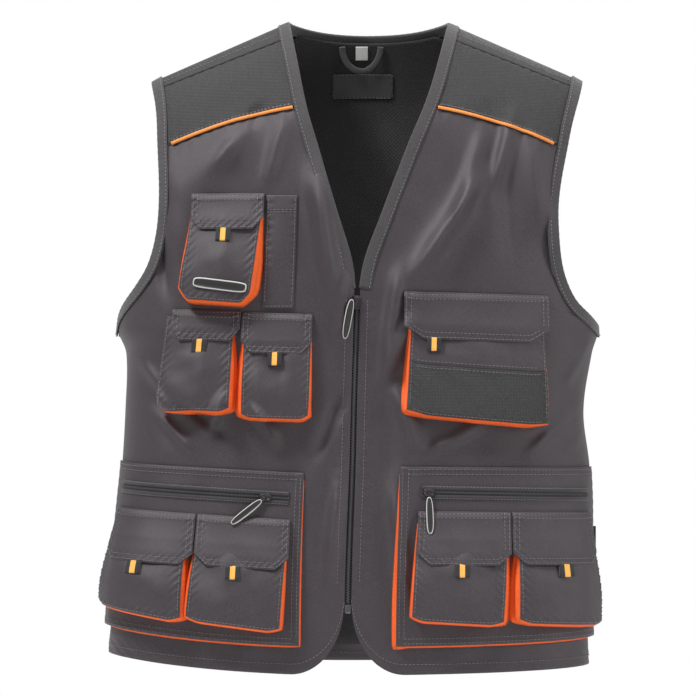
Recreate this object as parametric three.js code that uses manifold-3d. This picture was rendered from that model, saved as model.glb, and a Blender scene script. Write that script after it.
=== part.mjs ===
// Utility work vest: sleeveless, V-necked and zipped, in dark twill with orange piping and bellows pockets.
// Millimetres, +Z up. The front faces -Y and +X is the wearer's left.
// The origin lies midway between the two neck points, at the height where the shoulders carry the vest.
import * as THREE from "three";
import { mergeVertices } from "three/addons/utils/BufferGeometryUtils.js";
import Module from "manifold-3d";

const wasm = await Module();
wasm.setup();

// Cloth and clearances
const cloth = 1; // wall of each cloth piece
const gap = 0.3; // clearance between pieces that touch
const seamGap = 0.8; // clearance between two panels that meet edge to edge
const sewnRoom = 0.5; // clearance between a cloth and what is sewn onto it

// Body
const bodyLength = 708; // neck point to hem
const halfWidth = 262; // half the width at the armholes' foot
const frontDepth = 95; // centre of the body to the front
const backDepth = 85; // centre of the body to the back
const sideFullness = 0.15; // how far the section fills out towards its sides
const faceFullness = 0.35; // how flat the front and back of the section are

// Shoulders, neck and armholes
const shoulderSpan = 235; // centre to shoulder tip
const shoulderFall = 64; // neck point down to shoulder tip
const shoulderRound = 140; // height over which the shoulder turns from its ridge to upright
const neckHalf = 88; // half the width between the neck points
const neckDepth = 291; // neck point to the foot of the V
const backNeckDrop = 11; // neck point to the back neckline
const armholeDepth = 269; // shoulder tip to armhole foot

// Yokes and hems
const yokeNeckDrop = 94; // neck point to the piping, at the V
const yokeArmDrop = 141; // neck point to the piping, at the armhole
const yokeBow = 6; // how far the piping bows up between its ends
const strapNeckDrop = 19; // ridge to the shoulder strap's front seam, at the neck
const strapArmDrop = 12; // the same at the armhole
const backYokeDrop = 150; // neck point to the back yoke's seam
const hemSideRise = { right: 20, left: 7 }; // how far the hem rises at each side
const frontCorner = { run: 58, rise: 79 }; // the rounded lower corner of each front
const backHemLift = 4; // how much shorter the back is

// Bindings and piping
const bindingWidth = 12;
const bindingWall = 1.1;
const pipingRadius = 1.8;

// Zip slot between the fronts, half its width
const zipSlotTop = 2.4;
const zipSlotFoot = 3.8;

// Sections from the neck point (0) to the hem (1): centre, right and left as shares of halfWidth,
// front of frontDepth and back of backDepth
const sections = [
  { at: 0, centre: 0.004, right: 1.03, left: 1.03, front: 0.8, back: 0.88 },
  { at: 0.09, centre: -0.004, right: 1.0, left: 1.0, front: 0.86, back: 0.94 },
  { at: 0.175, centre: -0.019, right: 0.962, left: 0.962, front: 0.93, back: 1.0 },
  { at: 0.3, centre: -0.035, right: 0.955, left: 0.955, front: 1.0, back: 1.0 },
  { at: 0.47, centre: -0.049, right: 0.996, left: 1.013, front: 0.99, back: 0.93 },
  { at: 0.51, centre: -0.052, right: 0.957, left: 0.988, front: 0.97, back: 0.9 },
  { at: 0.6, centre: -0.059, right: 0.954, left: 0.96, front: 0.94, back: 0.86 },
  { at: 0.69, centre: -0.065, right: 0.962, left: 0.992, front: 0.94, back: 0.9 },
  { at: 0.81, centre: -0.078, right: 0.97, left: 1.0, front: 0.98, back: 0.98 },
  { at: 0.91, centre: -0.084, right: 0.985, left: 1.0, front: 1.0, back: 1.02 },
  { at: 1, centre: -0.085, right: 1.005, left: 1.01, front: 1.0, back: 1.04 },
];

// Armhole edge from the shoulder tip (0) to the armhole's foot (1), as a share of the section's half width
const armholeEdge = [
  { at: 0, right: 0.896, left: 0.897 },
  { at: 0.1, right: 0.884, left: 0.892 },
  { at: 0.25, right: 0.882, left: 0.882 },
  { at: 0.5, right: 0.866, left: 0.856 },
  { at: 0.65, right: 0.87, left: 0.852 },
  { at: 0.75, right: 0.888, left: 0.855 },
  { at: 0.83, right: 0.928, left: 0.872 },
  { at: 0.9, right: 0.972, left: 0.905 },
  { at: 0.95, right: 0.993, left: 0.955 },
  { at: 1, right: 1, left: 1 },
];

// Edge of the V from the neck point (0) to its foot (1), as a share of neckHalf
const neckEdge = [
  { at: 0, reach: 1 },
  { at: 0.13, reach: 0.9 },
  { at: 0.3, reach: 0.76 },
  { at: 0.475, reach: 0.565 },
  { at: 0.62, reach: 0.405 },
  { at: 0.76, reach: 0.245 },
  { at: 0.87, reach: 0.115 },
  { at: 0.94, reach: 0.06 },
  { at: 1, reach: 0.04 },
];

// Folds and dents: x of halfWidth from the centre, down of bodyLength, lean in degrees from upright,
// reach of bodyLength, width of halfWidth and rise of frontDepth
const folds = [
  { face: -1, x: -0.6, down: 0.21, lean: 33, reach: 0.06, width: 0.075, rise: 0.06 },
  { face: -1, x: -0.16, down: 0.33, lean: -12, reach: 0.1, width: 0.06, rise: 0.055 },
  { face: -1, x: -0.79, down: 0.29, lean: 0, reach: 0.07, width: 0.07, rise: 0.05 },
  { face: -1, x: -0.84, down: 0.6, lean: -30, reach: 0.05, width: 0.06, rise: -0.06 },
  { face: -1, x: -0.2, down: 0.66, lean: 10, reach: 0.07, width: 0.05, rise: 0.03 },
  { face: -1, x: 0.27, down: 0.35, lean: 31, reach: 0.09, width: 0.075, rise: 0.08 },
  { face: -1, x: 0.5, down: 0.2, lean: 5, reach: 0.07, width: 0.065, rise: -0.045 },
  { face: -1, x: 0.68, down: 0.24, lean: -7, reach: 0.1, width: 0.065, rise: 0.06 },
  { face: -1, x: 0.82, down: 0.6, lean: 35, reach: 0.05, width: 0.06, rise: -0.06 },
  { face: -1, x: 0.15, down: 0.68, lean: 4, reach: 0.08, width: 0.05, rise: 0.05 },
  { face: 1, x: -0.42, down: 0.62, lean: 6, reach: 0.16, width: 0.1, rise: 0.07 },
  { face: 1, x: 0.4, down: 0.6, lean: -6, reach: 0.17, width: 0.1, rise: 0.07 },
  { face: 1, x: 0.02, down: 0.7, lean: 2, reach: 0.16, width: 0.12, rise: -0.06 },
  { face: 1, x: -0.55, down: 0.32, lean: -18, reach: 0.09, width: 0.08, rise: 0.05 },
  { face: 1, x: 0.55, down: 0.33, lean: 18, reach: 0.09, width: 0.08, rise: 0.05 },
];

const front = -1;
const back = 1;
const sides = [
  { name: "right", sign: -1 },
  { name: "left", sign: 1 },
];

const sideName = (sign) => (sign < 0 ? "right" : "left");

// Numbers and tables
const lerp = (a, b, t) => a + (b - a) * t;
const clamp = (value, low, high) => Math.min(high, Math.max(low, value));
const smooth = (t) => clamp(t, 0, 1) ** 2 * (3 - 2 * clamp(t, 0, 1));

// A table's column at a place between its rows, on a smooth curve through them
function read(table, column, at) {
  const place = clamp(at, table[0].at, table.at(-1).at);
  let i = 0;
  while (i < table.length - 2 && table[i + 1].at < place) i += 1;
  const slope = (k) => {
    const a = table[Math.max(0, k - 1)];
    const b = table[Math.min(table.length - 1, k + 1)];
    return (b[column] - a[column]) / (b.at - a.at);
  };
  const span = table[i + 1].at - table[i].at;
  const t = (place - table[i].at) / span;
  const t2 = t * t;
  const t3 = t2 * t;
  return (
    table[i][column] * (2 * t3 - 3 * t2 + 1) +
    slope(i) * span * (t3 - 2 * t2 + t) +
    table[i + 1][column] * (3 * t2 - 2 * t3) +
    slope(i + 1) * span * (t3 - t2)
  );
}

// Body surface
const share = (z) => -z / bodyLength;
const centreAt = (z) => halfWidth * read(sections, "centre", share(z));
const halfAt = (z, sign) => halfWidth * read(sections, sign < 0 ? "right" : "left", share(z));
const sectionX = (angle) => Math.sin(angle) * (1 + sideFullness * Math.cos(angle) ** 2);
const sectionY = (angle) => Math.cos(angle) * (1 + faceFullness * Math.sin(angle) ** 2);

// Height of the shoulder's ridge, which runs on upwards inside the neck
function ridgeAt(x) {
  return (shoulderFall * (neckHalf - Math.abs(x))) / (shoulderSpan - neckHalf);
}

// How much of the depth is left near the ridge
function ridgeShare(x, z) {
  const below = clamp((ridgeAt(x) - z) / shoulderRound, 0, 1);
  return Math.sqrt(1 - (1 - below) ** 2);
}

function foldAt(face, x, z) {
  let total = 0;
  for (const fold of folds) {
    if (fold.face !== face) continue;
    const lean = THREE.MathUtils.degToRad(fold.lean);
    const dx = x - fold.x * halfWidth;
    const dz = z + fold.down * bodyLength;
    const along = (dx * Math.sin(lean) + dz * Math.cos(lean)) / (fold.reach * bodyLength);
    const across = (dx * Math.cos(lean) - dz * Math.sin(lean)) / (fold.width * halfWidth);
    total += fold.rise * frontDepth * Math.exp(-across * across - along ** 4);
  }
  return total;
}

// A point of the cloth's middle layer, by its angle round the section: 0 at the middle of a face, a quarter
// turn at a side
function bodyPoint(face, angle, z) {
  const sign = angle < 0 ? -1 : 1;
  const x = centreAt(z) + halfAt(z, sign) * sectionX(angle);
  const depth = face < 0 ? frontDepth * read(sections, "front", share(z)) : backDepth * read(sections, "back", share(z));
  const near = sectionY(angle) * ridgeShare(x, z);
  return new THREE.Vector3(x, face * (depth + foldAt(face, x, z)) * near, z);
}

function outward(face, angle, z) {
  const turn = 0.004;
  const rise = 0.4;
  const across = bodyPoint(face, angle + turn, z).sub(bodyPoint(face, angle - turn, z));
  const up = bodyPoint(face, angle, z + rise).sub(bodyPoint(face, angle, z - rise));
  const normal = across.cross(up).normalize();
  const inside = new THREE.Vector3(centreAt(z), 0, z - shoulderRound);
  if (normal.dot(bodyPoint(face, angle, z).sub(inside)) < 0) normal.negate();
  return normal;
}

// The angle at which the section reaches a share of its half width
function angleAt(reach) {
  let low = 0;
  let high = Math.PI / 2;
  for (let i = 0; i < 40; i += 1) {
    const middle = (low + high) / 2;
    if (sectionX(middle) < Math.abs(reach)) low = middle;
    else high = middle;
  }
  return Math.sign(reach) * low;
}

const angleOfX = (x, z) => angleAt(clamp((x - centreAt(z)) / halfAt(z, Math.sign(x - centreAt(z)) || 1), -1, 1));

// The angle that lies a distance round the body from the centre line
const girthSteps = 60;
const girthCache = new Map();
function girthTable(face, sign, z) {
  const key = `${face} ${sign} ${z.toFixed(2)}`;
  if (!girthCache.has(key)) {
    const run = [0];
    let last = bodyPoint(face, sign * 1e-9, z);
    for (let i = 1; i <= girthSteps; i += 1) {
      const next = bodyPoint(face, (sign * i * Math.PI) / 2 / girthSteps, z);
      run.push(run[i - 1] + next.distanceTo(last));
      last = next;
    }
    girthCache.set(key, run);
  }
  return girthCache.get(key);
}

function angleOfGirth(face, distance, z) {
  const sign = distance < 0 ? -1 : 1;
  const run = girthTable(face, sign, z);
  const wanted = Math.min(Math.abs(distance), run[girthSteps]);
  let i = 0;
  while (i < girthSteps - 1 && run[i + 1] < wanted) i += 1;
  const part = (wanted - run[i]) / (run[i + 1] - run[i]);
  return (sign * (i + part) * Math.PI) / 2 / girthSteps;
}

function girthOfAngle(face, angle, z) {
  const sign = angle < 0 ? -1 : 1;
  const run = girthTable(face, sign, z);
  const steps = clamp((Math.abs(angle) / (Math.PI / 2)) * girthSteps, 0, girthSteps - 1e-9);
  const i = Math.floor(steps);
  return sign * lerp(run[i], run[i + 1], steps - i);
}

// A point at a distance round the body and an offset out of the cloth's middle layer
function place(face, distance, z, offset) {
  const angle = angleOfGirth(face, distance, z);
  return bodyPoint(face, angle, z).addScaledVector(outward(face, angle, z), offset);
}

// Edges
const armholeFoot = -(shoulderFall + armholeDepth);
const armholeX = (sign, z) =>
  centreAt(z) + sign * halfAt(z, sign) * read(armholeEdge, sideName(sign), (-z - shoulderFall) / armholeDepth);
const neckX = (sign, z) => centreAt(z) + sign * neckHalf * read(neckEdge, "reach", -z / neckDepth);
const zipEdgeX = (sign, z) => centreAt(z) + sign * lerp(zipSlotTop, zipSlotFoot, share(z));
const sideAngle = (sign) => sign * (Math.PI / 2 - gap / 2 / frontDepth);
const ridgeX = (sign) => centreAt(0) + sign * neckHalf;

// Meshes
function geometryOf(positions, faces) {
  const geometry = new THREE.BufferGeometry();
  geometry.setAttribute("position", new THREE.Float32BufferAttribute(positions, 3));
  geometry.setIndex(faces);
  return geometry;
}

function volumeOf(positions, faces) {
  const corner = (k) => new THREE.Vector3().fromArray(positions, 3 * k);
  let total = 0;
  for (let i = 0; i < faces.length; i += 3) {
    total += corner(faces[i]).dot(corner(faces[i + 1]).cross(corner(faces[i + 2])));
  }
  return total;
}

function closedGeometry(positions, faces) {
  const turned = volumeOf(positions, faces) < 0;
  const wound = [];
  for (let i = 0; i < faces.length; i += 3) {
    wound.push(faces[i], faces[turned ? i + 2 : i + 1], faces[turned ? i + 1 : i + 2]);
  }
  return geometryOf(positions, wound);
}

function solidOf(geometry) {
  const bare = geometry.clone();
  bare.deleteAttribute("normal");
  bare.deleteAttribute("uv");
  const merged = mergeVertices(bare, 1e-4);
  return new wasm.Manifold(
    new wasm.Mesh({
      numProp: 3,
      vertProperties: new Float32Array(merged.getAttribute("position").array),
      triVerts: new Uint32Array(merged.index.array),
    }),
  );
}

function geometryOfSolid(solid) {
  const mesh = solid.getMesh();
  return geometryOf(Array.from(mesh.vertProperties), Array.from(mesh.triVerts));
}

// The piece less its neighbours' room, without the offcuts that lie beyond the cloth it is sewn to
function cutClear(geometry, neighbours) {
  let solid = solidOf(geometry);
  for (const neighbour of neighbours) solid = solid.subtract(neighbour);
  const bodies = solid.decompose().toSorted((a, b) => b.volume() - a.volume());
  return geometryOfSolid(bodies[0]);
}

// A cloth over a grid: at(u, v) is a place on the body, wall(u, v) its inner and outer offsets, grow how far
// its edges reach past the grid, and missing(i, j) tells the cells that the cloth leaves out
function sheet(columns, rows, at, wall, { grow = 0, missing = () => false } = {}) {
  const positions = [];
  const width = columns.length;
  const spots = rows.map((v) => columns.map((u) => at(u, v)));
  const middles = spots.map((row) => row.map((spot) => bodyPoint(spot.face, spot.angle, spot.z)));
  const isCloth = (i, j) => i >= 0 && j >= 0 && i < width - 1 && j < rows.length - 1 && !missing(i, j);
  const isNode = (i, j) => [0, -1].some((a) => [0, -1].some((b) => isCloth(i + a, j + b)));
  const reachOut = (i, j, di, dj) => {
    const behind = middles[j + dj]?.[i + di];
    const beyond = middles[j - dj]?.[i - di];
    if (!behind || !isNode(i + di, j + dj) || (beyond && isNode(i - di, j - dj))) return new THREE.Vector3();
    return middles[j][i].clone().sub(behind).setLength(grow);
  };
  rows.forEach((v, j) =>
    columns.forEach((u, i) => {
      const spot = spots[j][i];
      const normal = outward(spot.face, spot.angle, spot.z);
      const middle = middles[j][i].clone();
      if (grow) {
        for (const [di, dj] of [[1, 0], [-1, 0], [0, 1], [0, -1]]) middle.add(reachOut(i, j, di, dj));
      }
      for (const offset of wall(u, v)) {
        positions.push(...middle.clone().addScaledVector(normal, offset).toArray());
      }
    }),
  );
  const corner = (i, j, layer) => 2 * (j * width + i) + layer;
  const faces = [];
  const quad = (a, b, c, d) => faces.push(a, b, c, a, c, d);
  for (let j = 0; j < rows.length - 1; j += 1) {
    for (let i = 0; i < width - 1; i += 1) {
      if (!isCloth(i, j)) continue;
      const ring = [
        [i, j],
        [i + 1, j],
        [i + 1, j + 1],
        [i, j + 1],
      ];
      quad(...ring.map(([a, b]) => corner(a, b, 1)));
      quad(...[ring[0], ring[3], ring[2], ring[1]].map(([a, b]) => corner(a, b, 0)));
      const beside = [
        [i, j - 1],
        [i + 1, j],
        [i, j + 1],
        [i - 1, j],
      ];
      beside.forEach(([a, b], k) => {
        if (isCloth(a, b)) return;
        const from = ring[k];
        const to = ring[(k + 1) % 4];
        quad(corner(...to, 1), corner(...from, 1), corner(...from, 0), corner(...to, 0));
      });
    }
  }
  return closedGeometry(positions, faces);
}

// A profile of [along, out] pairs carried through stations with a point and the two directions
function sweep(stations, section, closed = false) {
  const clockwise = THREE.ShapeUtils.isClockWise(section.map(([a, b]) => new THREE.Vector2(a, b)));
  const profile = clockwise ? section.toReversed() : section;
  const positions = stations.flatMap((station) =>
    profile.flatMap(([a, b]) =>
      station.point.clone().addScaledVector(station.along, a).addScaledVector(station.normal, b).toArray(),
    ),
  );
  const count = profile.length;
  const faces = [];
  const last = closed ? stations.length : stations.length - 1;
  for (let j = 0; j < last; j += 1) {
    const here = j * count;
    const next = ((j + 1) % stations.length) * count;
    for (let i = 0; i < count; i += 1) {
      const k = (i + 1) % count;
      faces.push(here + i, here + k, next + k, here + i, next + k, next + i);
    }
  }
  if (!closed) {
    const outline = profile.map(([a, b]) => new THREE.Vector2(a, b));
    const end = (stations.length - 1) * count;
    for (const [a, b, c] of THREE.ShapeUtils.triangulateShape(outline, [])) {
      faces.push(c, b, a, end + a, end + b, end + c);
    }
  }
  return closedGeometry(positions, faces);
}

// Stations along an edge of the cloth, with the along direction into the cloth, away from a hollow
function edgeStations(spots, hollow, closed = false) {
  const points = spots.map((spot) => bodyPoint(spot.face, spot.angle, spot.z));
  const count = points.length;
  return spots.map((spot, i) => {
    const before = points[closed ? (i + count - 1) % count : Math.max(0, i - 1)];
    const after = points[closed ? (i + 1) % count : Math.min(count - 1, i + 1)];
    const run = after.clone().sub(before).normalize();
    const normal = outward(spot.face, spot.angle, spot.z);
    const along = normal.clone().cross(run).normalize();
    if (along.dot(hollow(points[i]).sub(points[i])) > 0) along.negate();
    return { point: points[i], along, normal: along.clone().cross(run).normalize(), outside: normal };
  }).map(({ point, along, normal, outside }) => ({
    point,
    along,
    normal: normal.dot(outside) < 0 ? normal.negate() : normal,
  }));
}

const group = new THREE.Group();

function add(name, material, geometry) {
  const mesh = new THREE.Mesh(geometry, material);
  mesh.name = name;
  group.add(mesh);
  return geometry;
}

const fabric = (color, roughness) => new THREE.MeshStandardMaterial({ color, roughness, metalness: 0 });
const twill = fabric(0x5a545a, 0.8);
const oxford = fabric(0x454447, 0.75);
const meshCloth = fabric(0x2a2828, 0.9);
const tapeCloth = fabric(0x555254, 0.8);
const orangeCloth = fabric(0xeb5a1e, 0.75);
const pipingCloth = fabric(0xf5923a, 0.7);
const webbing = fabric(0x1c1b1d, 0.85);
const labelCloth = fabric(0x1a1a1c, 0.8);
const tagCloth = fabric(0xf0f0ee, 0.8);
const rubber = fabric(0x2e2c2e, 0.5);
const zipMetal = new THREE.MeshStandardMaterial({ color: 0x4a484a, roughness: 0.35, metalness: 0.8 });
const zipTape = fabric(0x2c2a2c, 0.85);

const clothWall = (extra = 0) => () => [-cloth / 2 - extra, cloth / 2 + extra];

// Front panels
const frontColumns = [0, 0.06, 0.13, 0.22, 0.33, 0.45, 0.57, 0.68, 0.78, 0.86, 0.91, 0.95, 0.985, 1];
const frontRows = [0, 0.05, 0.11, 0.18, 0.27, 0.36, 0.45, 0.54, 0.62, 0.65, 0.69, 0.76, 0.83, 0.9, 0.95, 1];
const footRow = 0.62; // the row that runs from the armhole's foot to the foot of the V

function hemAt(sign, x) {
  const reach = clamp(Math.abs(x - centreAt(-bodyLength)) / halfAt(-bodyLength, sign), 0, 1);
  return -bodyLength + hemSideRise[sideName(sign)] * reach ** 2;
}

function pipingAt(sign, x) {
  const inner = neckX(sign, -yokeNeckDrop);
  const t = (x - inner) / (armholeX(sign, -yokeArmDrop) - inner);
  return -lerp(yokeNeckDrop, yokeArmDrop, t) + yokeBow * 4 * t * (1 - t);
}

function frontSpot(sign, u, v) {
  const upper = v > footRow;
  const t = upper ? (v - footRow) / (1 - footRow) : v / footRow;
  const hemSide = -bodyLength + hemSideRise[sideName(sign)];
  const cornerTop = -bodyLength + frontCorner.rise;
  const sideZ = upper ? lerp(armholeFoot, -yokeArmDrop, t) : lerp(hemSide, armholeFoot, t);
  const edgeZ = upper ? lerp(-neckDepth, -yokeNeckDrop, t) : lerp(cornerTop, -neckDepth, t);
  const outer = upper ? angleOfX(armholeX(sign, sideZ), sideZ) : sideAngle(sign);
  const inner = angleOfX(upper ? neckX(sign, edgeZ) : zipEdgeX(sign, edgeZ), edgeZ);
  const angle = lerp(outer, inner, u);
  let z = lerp(sideZ, edgeZ, u);
  if (upper) {
    const x = bodyPoint(front, angle, z).x;
    z += (pipingAt(sign, x) - lerp(-yokeArmDrop, -yokeNeckDrop, u) - seamGap / 2) * smooth(t);
  } else {
    const x = bodyPoint(front, angle, -bodyLength).x;
    const turn = clamp(1 - Math.abs(x - zipEdgeX(sign, -bodyLength)) / frontCorner.run, 0, 1);
    const hem = hemAt(sign, x) + frontCorner.rise * (1 - Math.sqrt(1 - turn ** 2));
    z += (hem - lerp(hemSide, cornerTop, u)) * (1 - t) ** 1.3;
  }
  return { face: front, angle, z };
}

const frontPanel = (sign, extra, grow = extra) =>
  sheet(frontColumns, frontRows, (u, v) => frontSpot(sign, u, v), clothWall(extra), { grow });

// Front yokes, between the piping and the shoulder straps
const yokeColumns = [0, 0.12, 0.27, 0.42, 0.57, 0.72, 0.86, 1];
const yokeRows = [0, 0.35, 0.7, 1];
const strapDrop = (u) => lerp(strapArmDrop, strapNeckDrop, u);

// A place across the shoulder, at a depth below its ridge
function shoulderSpot(sign, face, u, below) {
  let z = -shoulderFall * (1 - u) - below;
  let x = 0;
  for (let i = 0; i < 8; i += 1) {
    x = lerp(armholeX(sign, z), face < 0 ? neckX(sign, z) : ridgeX(sign), u);
    z = ridgeAt(x) - below;
  }
  return { face, angle: angleOfX(x, z), z };
}

function yokeSpot(sign, u, v) {
  const top = shoulderSpot(sign, front, u, strapDrop(u) + seamGap / 2).z;
  const seamX = lerp(armholeX(sign, -yokeArmDrop), neckX(sign, -yokeNeckDrop), u);
  const z = lerp(pipingAt(sign, seamX) + seamGap / 2, top, v);
  return { face: front, angle: angleOfX(lerp(armholeX(sign, z), neckX(sign, z), u), z), z };
}

const frontYoke = (sign, extra, grow = extra) =>
  sheet(yokeColumns, yokeRows, (u, v) => yokeSpot(sign, u, v), clothWall(extra), { grow });

// Back yoke: one cloth that comes over both shoulders as straps. Its columns run from -2 at the right
// armhole to 2 at the left one, with the neck points at -1 and 1, and its rows from -2 at the straps'
// front seams over the ridge at 0 to 5 at the seam across the back.
const backYokeColumns = [-2, -1.78, -1.4, -1, -0.92, -0.6, 0, 0.6, 0.92, 1, 1.4, 1.78, 2];
const backYokeRows = [-2, -1, 0, 1, 2, 3, 4, 5];
const lastYokeRow = 5;

const necklineAt = (t) => -backNeckDrop * (1 - Math.abs(t) ** 2.6);

function backYokeSpot(u, w) {
  const sign = u < 0 ? -1 : 1;
  const reach = Math.abs(u);
  const down = (clamp(w, 0, lastYokeRow) / lastYokeRow) ** lerp(1.2, 1.8, Math.min(1, reach));
  if (reach < 1) {
    const z = lerp(necklineAt(u), -backYokeDrop + seamGap / 2, down);
    return { face: back, angle: angleOfX(centreAt(0) + u * neckHalf, z), z };
  }
  const across = 2 - reach;
  if (w <= 0) return shoulderSpot(sign, front, across, (strapDrop(across) - seamGap / 2) * (w / 2) ** 2);
  const ridge = shoulderSpot(sign, back, across, 0).z;
  return shoulderSpot(sign, back, across, (ridge + backYokeDrop - seamGap / 2) * down);
}

// Back panel, from the yoke's seam to the hem
const backColumns = [-1, -0.9, -0.78, -0.65, -0.5, -0.34, -0.17, 0, 0.17, 0.34, 0.5, 0.65, 0.78, 0.9, 1];
const backRows = [0, 0.25, 0.5, 0.75, 0.92, 1, 1.14, 1.3, 1.46, 1.62, 1.78, 1.9, 2];

function backSpot(u, v) {
  const sign = u < 0 ? -1 : 1;
  const hem = hemAt(sign, centreAt(-bodyLength) + u * halfAt(-bodyLength, sign)) + backHemLift;
  const z = v <= 1 ? lerp(-backYokeDrop - seamGap / 2, armholeFoot, v) : lerp(armholeFoot, hem, v - 1);
  const outer = v < 1 ? angleOfX(armholeX(sign, z), z) : sideAngle(sign);
  return { face: back, angle: Math.abs(u) * outer, z };
}

// Mesh lining inside the back, from the neckline to just above the hem
const liningWall = 0.8;
const liningDepth = 4.4; // the back's middle layer to the lining's
const liningTop = 14; // ridge to the lining's edge, under the shoulders
const liningDrop = 5; // neckline to the lining's edge
const liningHem = 0.95; // where the lining stops, between the armhole's foot and the hem
const liningRows = [0, 0.07, 0.18, 0.36, 0.65, 1, 1.5, 2, 2.3, 2.62, 2 + liningHem];
const liningColumns = backColumns.filter((u) => ![0.65, 0.9].includes(Math.abs(u)));
const liningReach = { armhole: 0.9, side: 0.96 }; // how much of the way to the edges the lining goes

function liningSpot(u, v) {
  const reach = v > 2 ? liningReach.side : liningReach.armhole;
  const narrow = Math.abs(u) === 1 ? reach : 1;
  if (v > 1) {
    const spot = backSpot(u, v - 1);
    return { ...spot, angle: spot.angle * narrow };
  }
  const seam = backSpot(u, 0);
  const angle = seam.angle * narrow;
  const x = bodyPoint(back, angle, seam.z).x;
  const t = (x - centreAt(0)) / neckHalf;
  const under = ridgeAt(x) - liningTop;
  const top = Math.abs(t) < 1 ? Math.min(necklineAt(t) - liningDrop, under) : under;
  const z = lerp(top, seam.z, v);
  const edge = Math.abs(angleOfX(armholeX(Math.sign(u) || 1, z), z)) * liningReach.armhole;
  return { face: back, angle: clamp(angleOfX(x, z), -edge, edge), z };
}

const overNeck = (i, j) => Math.abs(backYokeColumns[i] + backYokeColumns[i + 1]) < 2 && backYokeRows[j] < 0;
const backYoke = (extra, grow = extra) =>
  sheet(backYokeColumns, backYokeRows, backYokeSpot, clothWall(extra), { grow, missing: overNeck });
const backPanel = (extra, grow = extra) => sheet(backColumns, backRows, backSpot, clothWall(extra), { grow });

for (const { name, sign } of sides) {
  add(`front_panel_${name}`, twill, frontPanel(sign, 0));
  add(`front_yoke_${name}`, oxford, frontYoke(sign, 0));
}
add("back_yoke", oxford, backYoke(0));
add("back_panel", twill, backPanel(0));

// The same cloths with the clearance over their faces and edges, which is cut from what is sewn to them
const roomOf = (make) =>
  solidOf(make(sewnRoom)).add(solidOf(make(sewnRoom, 0))).add(solidOf(make(gap / 2, 0)));
const room = {
  right: roomOf((extra, grow) => frontPanel(-1, extra, grow)),
  left: roomOf((extra, grow) => frontPanel(1, extra, grow)),
  yokeRight: roomOf((extra, grow) => frontYoke(-1, extra, grow)),
  yokeLeft: roomOf((extra, grow) => frontYoke(1, extra, grow)),
  backYoke: roomOf(backYoke),
  back: roomOf(backPanel),
};
const liningFaces = [-liningDepth - liningWall / 2, -liningDepth + liningWall / 2];
// Bindings, folded over the edges of the cloth
function bindingProfile(extra) {
  const face = cloth / 2 + gap + bindingWall + extra;
  const [far, near] = [bindingWidth + extra, -gap - bindingWall - extra];
  return [
    [far, -face],
    [far, face],
    [near, face],
    [near, -face],
  ];
}

const upperRows = frontRows.filter((v) => v > footRow);

function armholeSpots(sign) {
  const foot = { face: front, angle: (sign * Math.PI) / 2, z: armholeFoot };
  return [
    foot,
    ...upperRows.map((v) => frontSpot(sign, 0, v)),
    ...yokeRows.slice(1).map((v) => yokeSpot(sign, 0, v)),
    ...backYokeRows.slice(1).map((w) => backYokeSpot(2 * sign, w)),
    ...backRows.filter((v) => v > 0 && v < 1).map((v) => backSpot(sign, v)),
  ];
}

function neckSpots() {
  const rise = (sign) => [
    ...frontRows.filter((v) => v >= footRow).map((v) => frontSpot(sign, 1, v)),
    ...yokeRows.slice(1).map((v) => yokeSpot(sign, 1, v)),
    ...[-1, 0].map((w) => backYokeSpot(sign, w)),
  ];
  const behind = backYokeColumns.filter((u) => Math.abs(u) < 1).map((u) => backYokeSpot(u, 0));
  return [...rise(-1), ...behind, ...rise(1).toReversed()];
}

const bindingRoom = [];
for (const { name, sign } of sides) {
  const hollow = () => new THREE.Vector3(sign * halfWidth, 0, armholeFoot + armholeDepth / 2);
  const stations = edgeStations(armholeSpots(sign), hollow, true);
  const bar = sweep(stations, bindingProfile(0), true);
  bindingRoom.push(solidOf(sweep(stations, bindingProfile(gap), true)));
  const cloths = sign < 0 ? [room.right, room.yokeRight] : [room.left, room.yokeLeft];
  add(`armhole_binding_${name}`, tapeCloth, cutClear(bar, [...cloths, room.backYoke, room.back]));
}
const throat = (point) => new THREE.Vector3(centreAt(point.z), point.y / 2, point.z + shoulderRound / 4);
const neckStations = edgeStations(neckSpots(), throat);
const neckCloths = [room.right, room.left, room.yokeRight, room.yokeLeft, room.backYoke];
add("neck_binding", tapeCloth, cutClear(sweep(neckStations, bindingProfile(0)), neckCloths));
bindingRoom.push(solidOf(sweep(neckStations, bindingProfile(gap))));

const lining = (extra) =>
  sheet(liningColumns, liningRows, liningSpot, () => [liningFaces[0] - extra, liningFaces[1] + extra]);
add("mesh_lining", meshCloth, cutClear(lining(0), [...bindingRoom, room.backYoke, room.back]));
room.lining = solidOf(lining(gap));

// Piping over the seams between the front panels and their yokes
const pipingSides = 6;
const pipingClear = 0.9; // cloth to piping, so that it rides over the seam's ridges
const pipingProfile = Array.from({ length: pipingSides }, (_, i) => {
  const turn = ((i + 0.5) / pipingSides) * 2 * Math.PI;
  const seat = cloth / 2 + pipingClear + pipingRadius;
  return [pipingRadius * Math.cos(turn), seat + pipingRadius * Math.sin(turn)];
});
const pipingInset = bindingWidth + 4 * gap; // the piping's ends stop at the bindings
for (const { name, sign } of sides) {
  const outer = armholeX(sign, -yokeArmDrop);
  const inner = neckX(sign, -yokeNeckDrop);
  const trim = pipingInset / Math.abs(outer - inner);
  const spots = Array.from({ length: 10 }, (_, i) => {
    const x = lerp(outer, inner, lerp(trim * 1.2, 1 - trim, i / 9));
    const z = pipingAt(sign, x);
    return { face: front, angle: angleOfX(x, z), z };
  });
  const above = (point) => point.clone().add(new THREE.Vector3(0, 0, bodyLength));
  add(`piping_${name}`, pipingCloth, sweep(edgeStations(spots, above), pipingProfile));
}

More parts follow.
